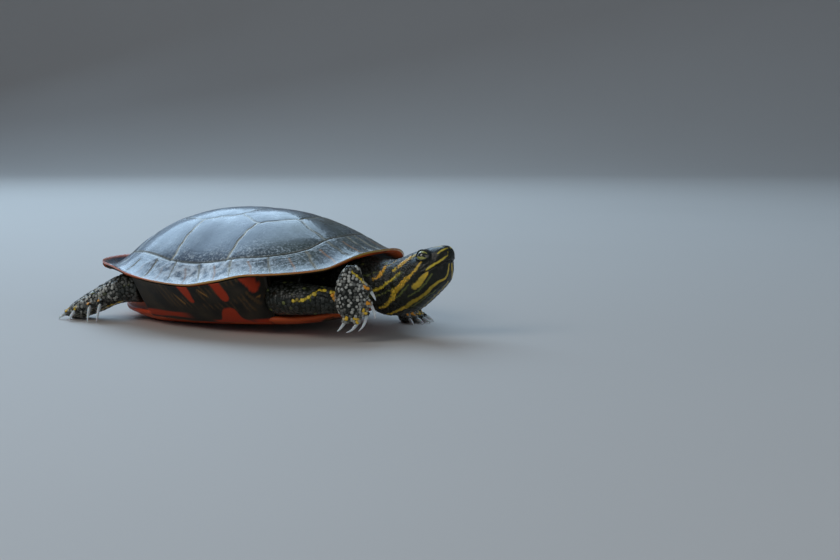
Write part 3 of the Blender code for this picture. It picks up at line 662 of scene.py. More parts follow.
bridge_horn = Finish("bridge_horn", 0.55, IOR=1.35)
colour = bridge_horn.mix(bridge_horn.patches(110, 0.4, 0.7), (0.010, 0.010, 0.008), (0.040, 0.030, 0.018))
colour = bridge_horn.layers(colour, ("streak", (0.075, 0.042, 0.016)), ("thin_line", (0.30, 0.14, 0.03)),
                            ("red", (0.42, 0.034, 0.006)))
bridge_bump = bridge_horn.bump(bridge_horn.noise(600, 4, 0.6), 0.0001, 0.5)
bridge_material = bridge_horn.close(colour, None, bridge_bump)
for side, word in ((-1, "right"), (1, "left")):
    loop = bridge_wall(side)
    rows, columns = loop.shape[:2]
    grid = loop.reshape(-1, 3)
    mirror = grid * (1, -side, 1)
    length, _, height = mirror.T
    red = np.zeros(len(grid))
    for top, bottom, top_half, bottom_half in RED_BARS:
        share = np.clip((height - bottom[2]) / (top[2] - bottom[2]), 0, 1)
        half = bottom_half + (top_half - bottom_half) * share
        away = gap_to_lines(mirror, [np.array([top, bottom], float)])
        red = np.maximum(red, step(0.25, -0.25, away - half + 0.45 * ripple(mirror, 6, 31)))
    thin = step(0.5, 0.25, gap_to_lines(mirror, np.array(THIN_LINES, float)))
    # Along the foot of the wall the plastron's red runs up: in a band at either end
    # and in one rounded lobe between them.
    over_keel = height - keel_height(length)
    over_edge = over_keel - edge_lift(length) + 0.5 * ripple(mirror, 14, 33)
    front_band = step(27, 33, length) * step(1.6, 0.6, over_edge)
    rear_band = step(3, -6, length) * step(3.4, 2.6, over_edge) * step(0.1, 0.8, over_edge)
    lobe = LOBE_HEIGHT * np.exp(-(((length - LOBE_PLACE - 0.15 * height) / LOBE_HALF) ** 4))
    lobe = step(0.5, -0.3, over_keel - 3.0 - lobe - 0.8 * ripple(mirror, 7, 37)) * step(10, 14, length)
    red = np.maximum.reduce([red, front_band, rear_band, lobe])
    streak = step(0.2, 0.7, np.sin((length + 0.35 * height) * 2.4 + ripple(mirror, 8, 35)))
    streak *= step(9, 12, height) * step(0.2, 0.9, ripple(mirror, 9, 36) + 0.6) * step(-16, -2, length)
    ends = np.array([[k, columns - 1 - k, columns - 2 - k, k + 1] for k in range(columns // 2 - 1)])
    quads = np.concatenate([ring_quads(rows, columns), ends, ends[:, ::-1] + (rows - 1) * columns])
    if side > 0:
        quads = quads[:, ::-1]
    wall = add_piece("bridge_horn_" + word, grid, quads)
    add_masks(wall, red=red, thin_line=thin, streak=streak)
    wall.data.materials.append(bridge_material)
    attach(wall, "root")
    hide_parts("bridge_" + word)

# --- Skin ------------------------------------------------------------------------
# One skin over head, neck, limbs and tail, with the trunk closed off inside the
# shell: dark, loose and folded at the neck and the joints, firm over the skull,
# with two lids round each eye, and yellow stripes that run back from the snout.

SCALE_RISE = 0.22             # how far the scales stand over the skin
VOXEL = 0.54                  # cell of the blend that joins the parts to one skin
HEAD_LENGTH = 25.0
HEAD_PLACES = (0, 1.2, 3.2, 5.5, 8.3, 12.5, 17.5, 21.5, 25)
HEAD_TOPS = (1.4, 3.0, 4.1, 4.9, 5.8, 6.8, 7.7, 8.2, 8.5)
HEAD_BOTTOMS = (-1.4, -2.6, -4.6, -8.0, -10.3, -11.5, -12.6, -13.4, -13.8)
HEAD_WIDTHS = (1.8, 3.6, 5.0, 6.2, 7.5, 9.0, 9.9, 10.3, 10.5)
HEAD_ROUND = 0.85             # power of a slice's cosine: below one is squarer
HEAD_PITCH = np.radians(30)
MOUTH_BACK = 12.5
MOUTH_DROP = 3.4
EYE_RADIUS = 3.1
SNOUT = np.array([103.2, 0.0, 35.4])
BACKWARD = np.array([-np.cos(HEAD_PITCH), 0, -np.sin(HEAD_PITCH)])
SIDEWAYS = np.array([0.0, 1.0, 0.0])
UPWARD = np.array([-np.sin(HEAD_PITCH), 0, np.cos(HEAD_PITCH)])
EYE_PLACE = (9.8, 4.9, 2.45)  # back from the snout, aside, up
# Stations of neck, tail and limbs: a centre, and half sizes aside and up.
NECK = [(36.3, 0, 17, 10.5, 9.0), (50, 0, 18.6, 10.6, 9.8), (60, 0, 22.0, 10.6, 9.2),
        (65, 0, 21.8, 10.7, 9.2), (70, 0, 20.4, 10.8, 10.6), (75, 0, 19.0, 10.9, 11.6),
        (82.87, 0, 20.6, 10.5, 11.15)]
TAIL = [(-33.3, 0, 15, 11, 8.5), (-42, 0, 14, 9, 7.5), (-50, 0.4, 14, 5.5, 5), (-58, 1.2, 13.8, 3, 3),
        (-66, 3, 12.6, 1.8, 1.8), (-71, 5, 11.2, 0.8, 0.8)]
RAISED_ARM = [(36.3, -24.5, 15.4, 8.2, 7.8), (45, -28.5, 15.8, 8.0, 6.8), (55, -28.0, 15.8, 7.0, 6.0),
              (63, -25.0, 15.6, 5.6, 5.2), (69, -21.8, 15.6, 4.6, 4.8), (73.5, -20.9, 15.8, 3.9, 4.2)]
RAISED_HAND = [(72.4, -24.4, 30.3, 1.4, 1.1), (72.5, -24.5, 29.0, 3.1, 1.9), (72.3, -25.0, 26.3, 4.5, 2.6),
               (72.4, -25.4, 22.8, 5.6, 3.1), (72.9, -25.6, 19.3, 6.3, 3.4), (73.3, -25.8, 15.9, 6.3, 3.4),
               (73.5, -26.2, 12.4, 5.6, 3.1), (73.7, -26.4, 10.1, 4.1, 2.4), (73.8, -26.5, 8.5, 2.5, 1.7),
               (73.8, -26.6, 7.4, 1.2, 1.0)]
PLANTED_ARM = [(36.3, 24.5, 15.4, 8.2, 7.8), (45, 28.5, 16.2, 8.0, 6.8), (54, 32.5, 14, 7.2, 6.8),
               (59.5, 34, 7.5, 6.4, 4.6), (62.2, 34, 2.8, 6.8, 4.2), (64.8, 34, 1.7, 6.8, 2.6)]
HIND_LEG = [(-33.3, -23, 14.5, 8.2, 7.0), (-39.5, -27.5, 14.9, 7.8, 6.6), (-44, -29.8, 13.8, 7.2, 6.0),
            (-48, -31.3, 12.1, 6.7, 5.5), (-54, -33, 9, 6.4, 5.0), (-60, -34.2, 6, 6.4, 4.6),
            (-65, -35.2, 3.6, 6.0, 3.8), (-68.5, -36, 2.4, 4.6, 2.5)]
LEFT_LEG_SHIFT = 4.0          # ahead of the right one, from the shank on
SHANK_STATION = 2
# Toes: where each starts inside the palm, where it ends, and its claw's tip.
RAISED_TOES = [((76.0, -23.5, 22.9), (79.4, -21.7, 20.1), (81.2, -21.1, 16.3)),
               ((77.4, -23.5, 16.7), (79.9, -22.1, 14.9), (81.4, -21.9, 9.3)),
               ((76.6, -24.4, 13.6), (78.9, -23.3, 10.9), (76.1, -25.9, 4.5)),
               ((74.8, -26.0, 10.5), (76.0, -25.7, 7.4), (72.2, -28.5, 4.1)),
               ((72.1, -27.5, 11.6), (71.7, -28.3, 8.0), (69.2, -30.3, 4.5))]
PLANTED_TOES = [((62, 29.6, 2.2), (65.6, 27.4, 1.95), (69, 25.4, 0)),
                ((63, 31.6, 2.2), (67.6, 30.4, 1.95), (71.4, 29.6, 0)),
                ((63.5, 34, 2.2), (68.3, 33.8, 1.95), (72.2, 33.8, 0)),
                ((63, 36.5, 2.2), (67.3, 37.4, 1.95), (71, 38.6, 0)),
                ((62, 38.4, 2.2), (65, 40.2, 1.95), (68, 42.4, 0))]
HIND_TOES = [((-51.4, -36.2, 7.8), (-46.6, -40.2, 8.8), (-48.6, -41.4, 0)),
             ((-55.8, -37.6, 6.2), (-52.2, -41, 7.2), (-52.4, -42.8, 0)),
             ((-60.8, -38.2, 4.2), (-60.2, -42, 4.7), (-62, -44, 0)),
             ((-65.8, -37.2, 2.8), (-68, -39.8, 2.8), (-70, -42.2, 0))]
HAND_ACROSS = (0.846, 0.533, 0.0)
HAND_OUT = (0.53, -0.84, 0.116)
PLANTED_BACK = (0.0, 0.0, 1.0)
HIND_BACK = (0.0, -0.8, 0.6)
HIND_BACK_LEFT = (0.0, 0.8, 0.6)
FORE_TOE = 1.75               # half widths of the toes
HIND_TOE = 1.85
TOE_SLICES = 14
TOE_TURNS = 18
SLICE_STEP = 0.8              # from one slice of a limb to the next
LEVEL_RUN = 6.0               # over which a limb leaves its first, level direction
END_RUN = 5.0                 # over which it takes up a last direction that is given
THINNEST = 0.3


def unit(vector):
    """The vector, or each row of an array, at length one."""
    vector = np.asarray(vector, float)
    return vector / np.linalg.norm(vector, axis=-1)[..., None]


def through_stations(stations, last_way=None, broad=None):
    """Centres, side and rise directions and half sizes along a limb: each value
    runs as a Catmull-Rom curve through its stations, and every slice is square to
    the curve's own direction, which starts level along the body, or keeps the
    broad and thin directions given."""
    table = np.asarray(stations, float)
    places = distances_along(table[:, :3])
    first = 2 * table[:1] - table[1:2]
    last = 2 * table[-1:] - table[-2:-1]
    padded = np.concatenate([first, table, last])
    stops = np.linspace(0, places[-1], int(places[-1] / SLICE_STEP))
    k = np.clip(np.searchsorted(places, stops, side="right") - 1, 0, len(places) - 2)
    t = ((stops - places[k]) / (places[k + 1] - places[k]))[:, None]
    a, b, c, d = padded[k], padded[k + 1], padded[k + 2], padded[k + 3]
    rows = 0.5 * (2 * b + (c - a) * t + (2 * a - 5 * b + 4 * c - d) * t**2 + (3 * b - a - 3 * c + d) * t**3)
    way = unit(np.gradient(rows[:, :3], axis=0))
    start = np.array([np.sign(table[1, 0] - table[0, 0]), 0.0, 0.0])
    blend = np.clip(1 - stops / LEVEL_RUN, 0, 1)[:, None]
    way = unit(way * (1 - blend) + start * blend)
    if last_way is not None:
        blend = np.clip(1 - (places[-1] - stops) / END_RUN, 0, 1)[:, None]
        way = unit(way * (1 - blend) + np.asarray(last_way) * blend)
    side = unit(np.cross((0.0, 0.0, 1.0), way))
    rise = np.cross(way, side)
    if broad is not None:
        side, rise = (np.repeat(np.array([axis]), len(rows), axis=0) for axis in broad)
    rows[:, 3:] = np.maximum(rows[:, 3:], THINNEST)
    return rows, side, rise, stops


def tube(rows, side, rise, turns):
    """Closed tube of oval slices round a curve."""
    angle = 2 * np.pi * (np.arange(turns) + 0.5) / turns
    rings = (rows[:, None, :3] + rows[:, None, 3:4] * np.cos(angle)[None, :, None] * side[:, None]
             + rows[:, None, 4:5] * np.sin(angle)[None, :, None] * rise[:, None])
    return closed_rings(rings)


def closed_rings(rings):
    """Points and faces of stacked rings, with a fan at either end."""
    rows, turns = rings.shape[:2]
    points = np.concatenate([rings.reshape(-1, 3), rings[0].mean(0)[None], rings[-1].mean(0)[None]])
    here = np.arange(turns)
    after = (here + 1) % turns
    end = (rows - 1) * turns
    fans = np.concatenate([np.stack([np.full(turns, rows * turns), after, here], 1),
                           np.stack([np.full(turns, rows * turns + 1), end + here, end + after], 1)])
    return points, ring_quads(rows, turns), fans


def toe_stations(toe, radius, back):
    """A toe as a short limb that starts inside the palm: its four stations, and
    its directions ahead, aside and up."""
    start, end, _ = (np.asarray(point, float) for point in toe)
    ahead = unit(end - start)
    centre = start + np.array([[-0.8], [0.0], [0.5], [1.0]]) * np.linalg.norm(end - start) * ahead
    size = radius * np.array([0.9, 1.02, 0.93, 0.80])[:, None]
    side = unit(np.cross(back, ahead))
    return np.concatenate([centre, size, size], axis=1), ahead, side, np.cross(ahead, side)


def between_stations(table, shares):
    """Rows between evenly spaced stations, by straight interpolation."""
    return np.stack([np.interp(shares, np.linspace(0, 1, len(table)), column) for column in table.T], axis=1)


def toe_tube(toe, radius, back):
    """The toe as a tube whose slices face back over the foot, with a round tip."""
    table, ahead, side, rise = toe_stations(toe, radius, back)
    rows = between_stations(table, np.linspace(0, 1, TOE_SLICES))
    tip = np.repeat(rows[-1:], 3, axis=0)
    tip[:, :3] += ahead * (radius * 0.45 * np.array([0.4, 0.75, 0.95]))[:, None]
    tip[:, 3:] *= np.array([0.93, 0.72, 0.35])[:, None]
    rows = np.concatenate([rows, tip])
    return tube(rows, np.repeat(side[None], len(rows), 0), np.repeat(rise[None], len(rows), 0), TOE_TURNS)


def mirror_rows(rows, shift):
    """Stations of the limb on the other side, the far ones moved along."""
    return [(x + (shift if k >= SHANK_STATION else 0.0), -y, z, *halves)
            for k, (x, y, z, *halves) in enumerate(rows)]


def mirror_toes(toes, shift):
    """The toes on the other side."""
    return [tuple((x + shift, -y, z) for x, y, z in toe) for toe in toes]


def head_point(back, aside, up):
    """Place of points given back from the snout, aside and up."""
    back, aside, up = (np.asarray(value, float)[..., None] for value in (back, aside, up))
    return SNOUT + back * BACKWARD + aside * SIDEWAYS + up * UPWARD


head_top = smooth_through(HEAD_PLACES, HEAD_TOPS)
head_bottom = smooth_through(HEAD_PLACES, HEAD_BOTTOMS)
head_width = smooth_through(HEAD_PLACES, HEAD_WIDTHS)


def head_slices(back, angle, shrink=1.0):
    """Places round the skull, in slices between a top and a bottom line; the
    cosine's power flattens the cheeks."""
    top, bottom = head_top(back), head_bottom(back)
    aside = head_width(back) * shrink * np.sign(np.cos(angle)) * np.abs(np.cos(angle)) ** HEAD_ROUND
    up = (top + bottom) / 2 + (top - bottom) / 2 * shrink * np.sin(angle)
    return head_point(back, aside, up)


def head_rings():
    """The skull, rounder at the snout; it runs on a little into the neck."""
    back = np.concatenate([[0.05, 0.25, 0.6], np.linspace(1.0, HEAD_LENGTH, 60), [HEAD_LENGTH + 2]])[:, None]
    angle = 2 * np.pi * (np.arange(72) + 0.5) / 72
    return closed_rings(head_slices(back, angle, np.sqrt(np.clip(back / 0.8, 0.05, 1)))[:, ::-1])


def trunk_rings():
    """The body wall inside the shell, close under the vault and over the plastron,
    squarer than an oval so that it fills the corners."""
    x = np.linspace(-33, 36, 40)
    angle = 2 * np.pi * (np.arange(60) + 0.5) / 60
    half = np.minimum(plastron_width(x) + 1.0, 32.0) - 2.7
    y = half[:, None] * np.sign(np.cos(angle)) * np.abs(np.cos(angle)) ** 0.7
    xs = np.broadcast_to(x[:, None], y.shape)
    share = np.abs(y) / half[:, None]
    spot = on_shell(np.stack([xs.ravel(), y.ravel()], 1))
    roof = shell_surface(*spot)[:, 2].reshape(y.shape) - 4.4 - 1.2 * share
    floor = keel_height(xs) + 4.2 + edge_lift(xs) * share**3
    heights = (roof + floor) / 2 + (roof - floor) / 2 * np.sin(angle)
    return closed_rings(np.stack([xs, y, heights], -1)[:, ::-1])


LIMBS = {"neck": NECK, "tail": TAIL, "raised": RAISED_ARM, "hand": RAISED_HAND, "planted": PLANTED_ARM,
         "hind_right": HIND_LEG, "hind_left": mirror_rows(HIND_LEG, LEFT_LEG_SHIFT)}
TOES = {"hand": (RAISED_TOES, FORE_TOE, HAND_OUT), "planted": (PLANTED_TOES, FORE_TOE, PLANTED_BACK),
        "hind_right": (HIND_TOES, HIND_TOE, HIND_BACK),
        "hind_left": (mirror_toes(HIND_TOES, LEFT_LEG_SHIFT), HIND_TOE, HIND_BACK_LEFT)}


def ball_rings(centre, radius):
    """A ball of stacked rings."""
    lift = np.linspace(-0.96, 0.96, 24)[:, None] * np.pi / 2
    angle = 2 * np.pi * (np.arange(32) + 0.5) / 32
    flat = np.cos(lift)
    ring = np.stack(np.broadcast_arrays(flat * np.cos(angle), flat * np.sin(angle), np.sin(lift)), -1)
    return closed_rings((np.asarray(centre) + radius * ring)[::-1])


LID_THICK = 0.34
EYE_SIDES = (("right", -1), ("left", 1))
EYES = {word: head_point(EYE_PLACE[0], side * EYE_PLACE[1], EYE_PLACE[2]) for word, side in EYE_SIDES}
blobs = [head_rings(), trunk_rings()]
blobs += [ball_rings(centre, EYE_RADIUS + LID_THICK + 0.05) for centre in EYES.values()]
curves = {}
for name, stations in LIMBS.items():
    rows, side, rise, stops = through_stations(stations, -BACKWARD if name == "neck" else None,
                                               (HAND_ACROSS, HAND_OUT) if name == "hand" else None)
    if name in TOES and name != "hand":
        # The palm closes with a round end, short of the toes' tips.
        shrink = np.sqrt(np.clip((stops[-1] - stops) / 1.5, 0.02, 1))
        rows[:, 3:] *= shrink[:, None]
    curves[name] = (rows, side, rise, stops)
    blobs.append(tube(rows, side, rise, 56))
for toes, radius, back in TOES.values():
    blobs += [toe_tube(toe, radius, back) for toe in toes]


def joined(blobs):
    """Several closed meshes as the arrays of one."""
    starts = np.cumsum([0] + [len(points) for points, _, _ in blobs[:-1]])
    return (np.concatenate([points for points, _, _ in blobs]),
            np.concatenate([quads + start for start, (_, quads, _) in zip(starts, blobs)]),
            np.concatenate([fans + start for start, (_, _, fans) in zip(starts, blobs)]))


def modified(piece):
    """The mesh that the piece's modifiers give; the piece itself is removed."""
    mesh = bpy.data.meshes.new_from_object(piece.evaluated_get(bpy.context.evaluated_depsgraph_get()))
    bpy.data.objects.remove(piece)
    return mesh


# The parts are joined and blended to one closed surface; the body wall, which no
# one sees inside the shell, is made coarse.
HIDDEN_REAR, HIDDEN_FRONT, HIDDEN_LOSS = -29, 32, 0.90
rough = add_piece("rough_flesh", *joined(blobs))
blend = rough.modifiers.new("blend", "REMESH")
blend.mode = "VOXEL"
blend.voxel_size = VOXEL * 0.001
blend.adaptivity = 0.0
merged = modified(rough)
inner_wall = bpy.data.objects.new("inner_wall", merged)
bpy.context.collection.objects.link(inner_wall)
places = np.empty(len(merged.vertices) * 3)
merged.vertices.foreach_get("co", places)
places = places[0::3] * 1000 - SHELL_MIDDLE[0]
hidden = np.flatnonzero((places > HIDDEN_REAR) & (places < HIDDEN_FRONT))
inner_wall.vertex_groups.new(name="hidden").add(hidden.tolist(), 1.0, "REPLACE")
thin_out = inner_wall.modifiers.new("thin_out", "DECIMATE")
thin_out.ratio = 1 - HIDDEN_LOSS * len(hidden) / len(places)
thin_out.vertex_group = "hidden"
merged = modified(inner_wall)


def mesh_arrays(mesh):
    """Points in millimetres, and the corners of the faces with four and with three."""
    points = np.empty(len(mesh.vertices) * 3)
    mesh.vertices.foreach_get("co", points)
    sizes = np.empty(len(mesh.polygons), np.int32)
    mesh.polygons.foreach_get("loop_total", sizes)
    loops = np.empty(len(mesh.loops), np.int32)
    mesh.loops.foreach_get("vertex_index", loops)
    starts = np.concatenate([[0], np.cumsum(sizes)[:-1]])
    fours = starts[sizes == 4][:, None] + np.arange(4)
    threes = starts[sizes == 3][:, None] + np.arange(3)
    return points.reshape(-1, 3) * 1000 - SHELL_MIDDLE, loops[fours], loops[threes]


def edge_pairs(quads, tris):
    """Every edge of the faces once, as pairs of point numbers."""
    pairs = [quads[:, [k, (k + 1) % 4]] for k in range(4)] + [tris[:, [k, (k + 1) % 3]] for k in range(3)]
    return np.unique(np.sort(np.concatenate(pairs), axis=1), axis=0)


def averaged(values, pairs):
    """The mean over each point's neighbours."""
    count = len(values)
    total = np.empty_like(values)
    number = np.maximum(np.bincount(pairs.ravel(), minlength=count), 1)
    for k in range(values.shape[1]):
        total[:, k] = (np.bincount(pairs[:, 0], values[pairs[:, 1], k], count)
                       + np.bincount(pairs[:, 1], values[pairs[:, 0], k], count))
    return total / number[:, None]


def point_normals(points, quads, tris):
    """Outward directions as the sum of the face areas round each point."""
    normal = np.zeros_like(points)
    for faces in (quads, tris):
        area = np.cross(points[faces[:, 2]] - points[faces[:, 0]], points[faces[:, -1]] - points[faces[:, 1]])
        for corner in faces.T:
            for k in range(3):
                normal[:, k] += np.bincount(corner, area[:, k], len(points))
    return normal / np.maximum(np.linalg.norm(normal, axis=1), 1e-12)[:, None]


# The face, which needs the finest forms, is divided once more.
FACE_DEPTH = 14.5
FACE_LENGTH = 22.0            # along the body
snout_place = metres(SNOUT)


def in_face(place):
    """Whether a place lies in the front part of the head."""
    return (place.x > snout_place[0] - FACE_LENGTH * 0.001
            and float((np.array(place) - snout_place) * 1000 @ BACKWARD) < FACE_DEPTH)


work = bmesh.new()
work.from_mesh(merged)
near = {vertex for vertex in work.verts if in_face(vertex.co)}
face_edges = [edge for edge in work.edges if edge.verts[0] in near and edge.verts[1] in near]
bmesh.ops.subdivide_edges(work, edges=face_edges, cuts=1, use_grid_fill=True)
bmesh.ops.triangulate(work, faces=[face for face in work.faces if len(face.verts) > 4])
work.to_mesh(merged)
work.free()
flesh, flesh_quads, flesh_tris = mesh_arrays(merged)
bpy.data.meshes.remove(merged)
pairs = edge_pairs(flesh_quads, flesh_tris)
# Pulled smooth, in turns in and out so that it doesn't shrink; then once more
# where the head's back runs into the neck.
PULL_IN, PUSH_OUT = 0.5, -0.46
in_crease = np.clip(1.2 - np.abs(flesh[:, 0] - 82) / 14, 0, 1)[:, None]
for share in (PULL_IN, PUSH_OUT) * 7 + (PULL_IN * in_crease,) * 10:
    flesh = flesh + share * (averaged(flesh, pairs) - flesh)


def head_coordinates(points):
    """Back from the snout, aside and up, for places in the body's frame."""
    away = points - SNOUT
    return away @ BACKWARD, away[:, 1], away @ UPWARD


SLIT_LONG = 57.0              # half angles of the slit between the lids, degrees
SLIT_HIGH = 36.0


def eye_axes(side):
    """Outward, lengthwise and upright directions of the eye: it looks out, a
    little forward and up, and its slit lies level."""
    outward = unit(-0.20 * BACKWARD + 0.90 * side * SIDEWAYS + 0.38 * UPWARD)
    level = unit(np.array([1.0, 0.0, 0.0]) - outward[0] * outward)
    level = unit(level - level[2] * np.array([0, 0, 1.0]))
    level = unit(level - (level @ outward) * outward)
    return outward, level, np.cross(outward, level) * side * -1


def eye_share(points, centre, side):
    """How far out from the slit's middle a place lies, by its angle at the ball's
    centre as a share of the slit's half angle that way: 1 is the lids' edge."""
    outward, level, upright = eye_axes(side)
    way = unit(points - centre)
    off_axis = np.degrees(np.arccos(np.clip(way @ outward, -1, 1)))
    flat = np.stack([way @ level, way @ upright])
    flat /= np.maximum(np.linalg.norm(flat, axis=0), 1e-9)
    return off_axis * np.hypot(flat[0] / SLIT_LONG, flat[1] / SLIT_HIGH)


for _ in range(3):
    fine = ((head_coordinates(flesh)[0] < FACE_DEPTH) & (flesh[:, 0] > 84))[:, None]
    flesh = flesh + 0.4 * fine * (averaged(flesh, pairs) - flesh)

back, aside, up = head_coordinates(flesh)
on_head = (flesh[:, 0] > 78) & (back < 27)
normal = point_normals(flesh, flesh_quads, flesh_tris)
push = np.full(len(flesh), -SCALE_RISE)

# The upper beak laps over the lower along a line that dips under the nostrils.
mouth_up = (-MOUTH_DROP + 0.25 * np.sin(np.pi * back / 10) + 0.25 * step(9, 13, back)
            - 0.3 * step(1.2, 0.2, np.abs(aside)))
below = up - mouth_up
along_mouth = on_head * step(MOUTH_BACK + 0.6, MOUTH_BACK - 1.0, back)
push += along_mouth * (-0.50 * np.exp(-((below / 0.26) ** 2)) + 0.22 * np.exp(-(((below - 0.55) / 0.45) ** 2))
                       - 0.12 * np.exp(-(((below + 0.9) / 0.6) ** 2)))
# Nostrils, and the ear's round skin behind the mouth.
for side in (-1, 1):
    nostril = head_point(0.35, 0.85 * side, 0.55)
    push -= on_head * 0.75 * np.exp(-((np.linalg.norm(flesh - nostril, axis=1) / 0.48) ** 2))
    ear = head_point(15.6, 9.7 * side, -2.2)
    gap = np.linalg.norm(flesh - ear, axis=1)
    push -= on_head * (0.22 * np.exp(-(((gap - 3.0) / 0.55) ** 2)) - 0.08 * np.exp(-((gap / 2.2) ** 2)))
# Folds across the loose neck and the throat, and a fine crinkle on the limbs.
loose = step(90, 80, flesh[:, 0]) * step(44, 56, flesh[:, 0]) * (np.abs(flesh[:, 1]) < 14)
throat = step(0, -6, up) * on_head * step(6, 12, back)
warp = 2.2 * ripple(flesh, 17, 41)
fold = np.sin(2 * np.pi * (flesh[:, 0] * 0.94 + flesh[:, 2] * 0.34 + warp) / 3.4)
push += (loose * (0.09 * fold + 0.10 * ripple(flesh, 3.6, 45, 14) - 0.05)
         + 0.10 * throat * np.sin(2 * np.pi * (back + warp) / 2.6))
limb = (np.abs(flesh[:, 1]) > 17) | (flesh[:, 0] < -36)
push += limb * 0.14 * ripple(flesh, 4.2, 43, 14)
push += 0.05 * ripple(flesh, 1.9, 44, 14) * (1 - 0.7 * on_head * (up > 0))
flesh = flesh + push[:, None] * normal

# Lids: thin rolls of skin round a slit that lays the ball bare; shares are counted
# from the slit's middle, 1 at the lids' edge.
NO_LID = 9.0
LID_REACH = 1.62
lids = np.full(len(flesh), NO_LID)
for word, side in EYE_SIDES:
    centre = EYES[word]
    far = np.linalg.norm(flesh - centre, axis=1)
    share = np.where(far < 6.0, eye_share(flesh, centre, side), NO_LID)
    lids = np.minimum(lids, share)
    roll = 0.14 * np.exp(-(((share - 1.14) / 0.13) ** 2)) - 0.12 * np.exp(-(((share - 1.42) / 0.1) ** 2))
    lid = EYE_RADIUS + LID_THICK + roll
    target = lid + (EYE_RADIUS - 0.5 - lid) * step(1.04, 0.94, share)
    far = far + (target - far) * step(LID_REACH, 1.22, share)
    way = unit(flesh - centre)
    flesh = np.where((share < LID_REACH)[:, None], centre + far[:, None] * way, flesh)
flesh[:, 2] = np.maximum(flesh[:, 2], 0.0)
skin = add_piece("skin", flesh, flesh_quads, flesh_tris)
STRIPE_PIECE = 0.4


def snapped(line):
    """The line laid on the skin: each point moves to the nearest skin point."""
    line = densely(line, STRIPE_PIECE)
    near = flesh[((flesh > line.min(0) - 4) & (flesh < line.max(0) + 4)).all(axis=1)]
    nearest = near[((line[:, None] - near[None]) ** 2).sum(-1).argmin(axis=1)]
    soft = nearest.copy()
    soft[1:-1] = (nearest[:-2] + 2 * nearest[1:-1] + nearest[2:]) / 4
    return soft


def limb_place(name, share, angle):
    """Places on a limb's surface by the share of its length and the angle round
    it: 0 is towards the side, a quarter turn is its top."""
    rows, side, rise, _ = curves[name]
    spot = np.clip(np.asarray(share, float), 0, 1) * (len(rows) - 1)
    k = np.minimum(spot.astype(int), len(rows) - 2)
    t = (spot - k)[..., None]
    row = rows[k] * (1 - t) + rows[k + 1] * t
    across = side[k] * (1 - t) + side[k + 1] * t
    upright = rise[k] * (1 - t) + rise[k + 1] * t
    angle = np.asarray(angle, float)[..., None]
    return row[..., :3] + row[..., 3:4] * np.cos(angle) * across + row[..., 4:5] * np.sin(angle) * upright


# Stripes: a line, its half widths from first to last point, and a tint between
# yellow-green (0) and orange (1).
FACE_STRIPES = [
    ([(90.3, -4.6, 34.4), (89.5, -5, 33.9), (87.1, -6.3, 32.1), (84.9, -7.3, 30.5), (83.5, -8, 28.9)],
     (0.35, 0.9, 1.0), 0.55),
    ([(82.1, -8.4, 27.7), (81.6, -8.7, 26.9)], (0.75, 0.7), 0.3),
    ([(93.6, -7.6, 31.2), (92, -9, 28.3), (90.1, -9.6, 26.1), (88, -9.9, 24.2), (86.3, -10.2, 22.1),
      (84, -10.3, 20.2), (82.7, -10.4, 18.7)], (0.4, 0.65, 0.75, 0.9, 1.1), 0.5),
    ([(82.7, -10.4, 18.7), (82, -9.8, 16.7), (80, -9.3, 14.5), (77.1, -8.4, 12.5), (74.4, -8, 11.5)],
     (1.0, 0.5), 0.35),
    ([(96.3, -8.1, 26.9), (94.6, -8.6, 24.5), (92.9, -8.9, 22.4), (91.2, -9.1, 21)],
     (0.65, 1.15, 1.1), 0.35),
    ([(103, -2.3, 35), (102.9, -2.8, 33.6), (101.6, -4.4, 32.3), (99.8, -6, 31), (98.1, -7, 29.6),
      (96.4, -7.9, 28)], (0.2, 0.38, 0.5), 0.05),
    ([(102.4, -1.0, 30.2), (102.4, -1.4, 27.8), (102.1, -1.8, 25.9), (101.6, -2.4, 24.8)], (0.3, 0.45), 0.25),
    ([(101.6, -2.4, 24.8), (99.5, -4.6, 23.5), (97.4, -5.8, 21.2), (95.1, -5.7, 18.7), (92.2, -6.3, 16.6),
      (88.6, -7.2, 14.4), (83.5, -5.9, 11.7), (75.9, -4.5, 8.6)], (0.45, 0.7, 0.85, 0.8, 0.6), 0.3),
    ([(84.8, -9.4, 26.7), (82.3, -9.8, 24.4), (79.7, -10.2, 22.5), (76.2, -10.7, 19.9), (70, -10.8, 17.5)],
     (0.3, 0.5, 0.55), 0.15),
    ([(75.9, -6.3, 28.6), (75.7, -8.4, 26.1), (74.6, -9.7, 24.1), (72.5, -10.2, 23.1)],
     (0.6, 0.85, 0.45), 0.7),
    ([(79.2, -3.7, 30.7), (77.5, -6.1, 28.6)], (0.3, 0.4), 0.45),
    ([(102.3, -1.2, 37.0), (101.1, -3.6, 36.0), (99.6, -5, 34.6)], (0.3, 0.3), 0.05),
    ([(95.3, -2.3, 38.2), (99.0, -1.6, 38.2)], (0.3, 0.4), 0.1),
]
OLIVE_LINES = [
    [(97.6, -3.1, 19.4), (94.8, -4.5, 17.3), (91.5, -5.3, 14.8), (88.1, -5.8, 12.6)],
    [(98.2, -7.1, 26.5), (95.7, -7.5, 22.9), (92.4, -8.1, 19.6), (88.2, -8.8, 17)],
    [(86, -10.2, 27), (83, -10.6, 24.4), (79, -10.9, 22)],
    [(89, -9.7, 22), (85, -10.4, 17.5), (80, -10, 14)],
    [(74, -9.5, 27), (70, -10.3, 25), (64, -10.4, 24)],
    [(82, -10.6, 20), (76, -10.9, 17), (68, -10.6, 15)],
]
CHIN_MIDDLE = [(100.4, 0, 23.3), (98.2, 0, 20.0), (94, 0, 16.2), (88, 0, 12.6)]


def mirror_line(line):
    """The line on the other side of the head."""
    return [(x, -y, z) for x, y, z in line]


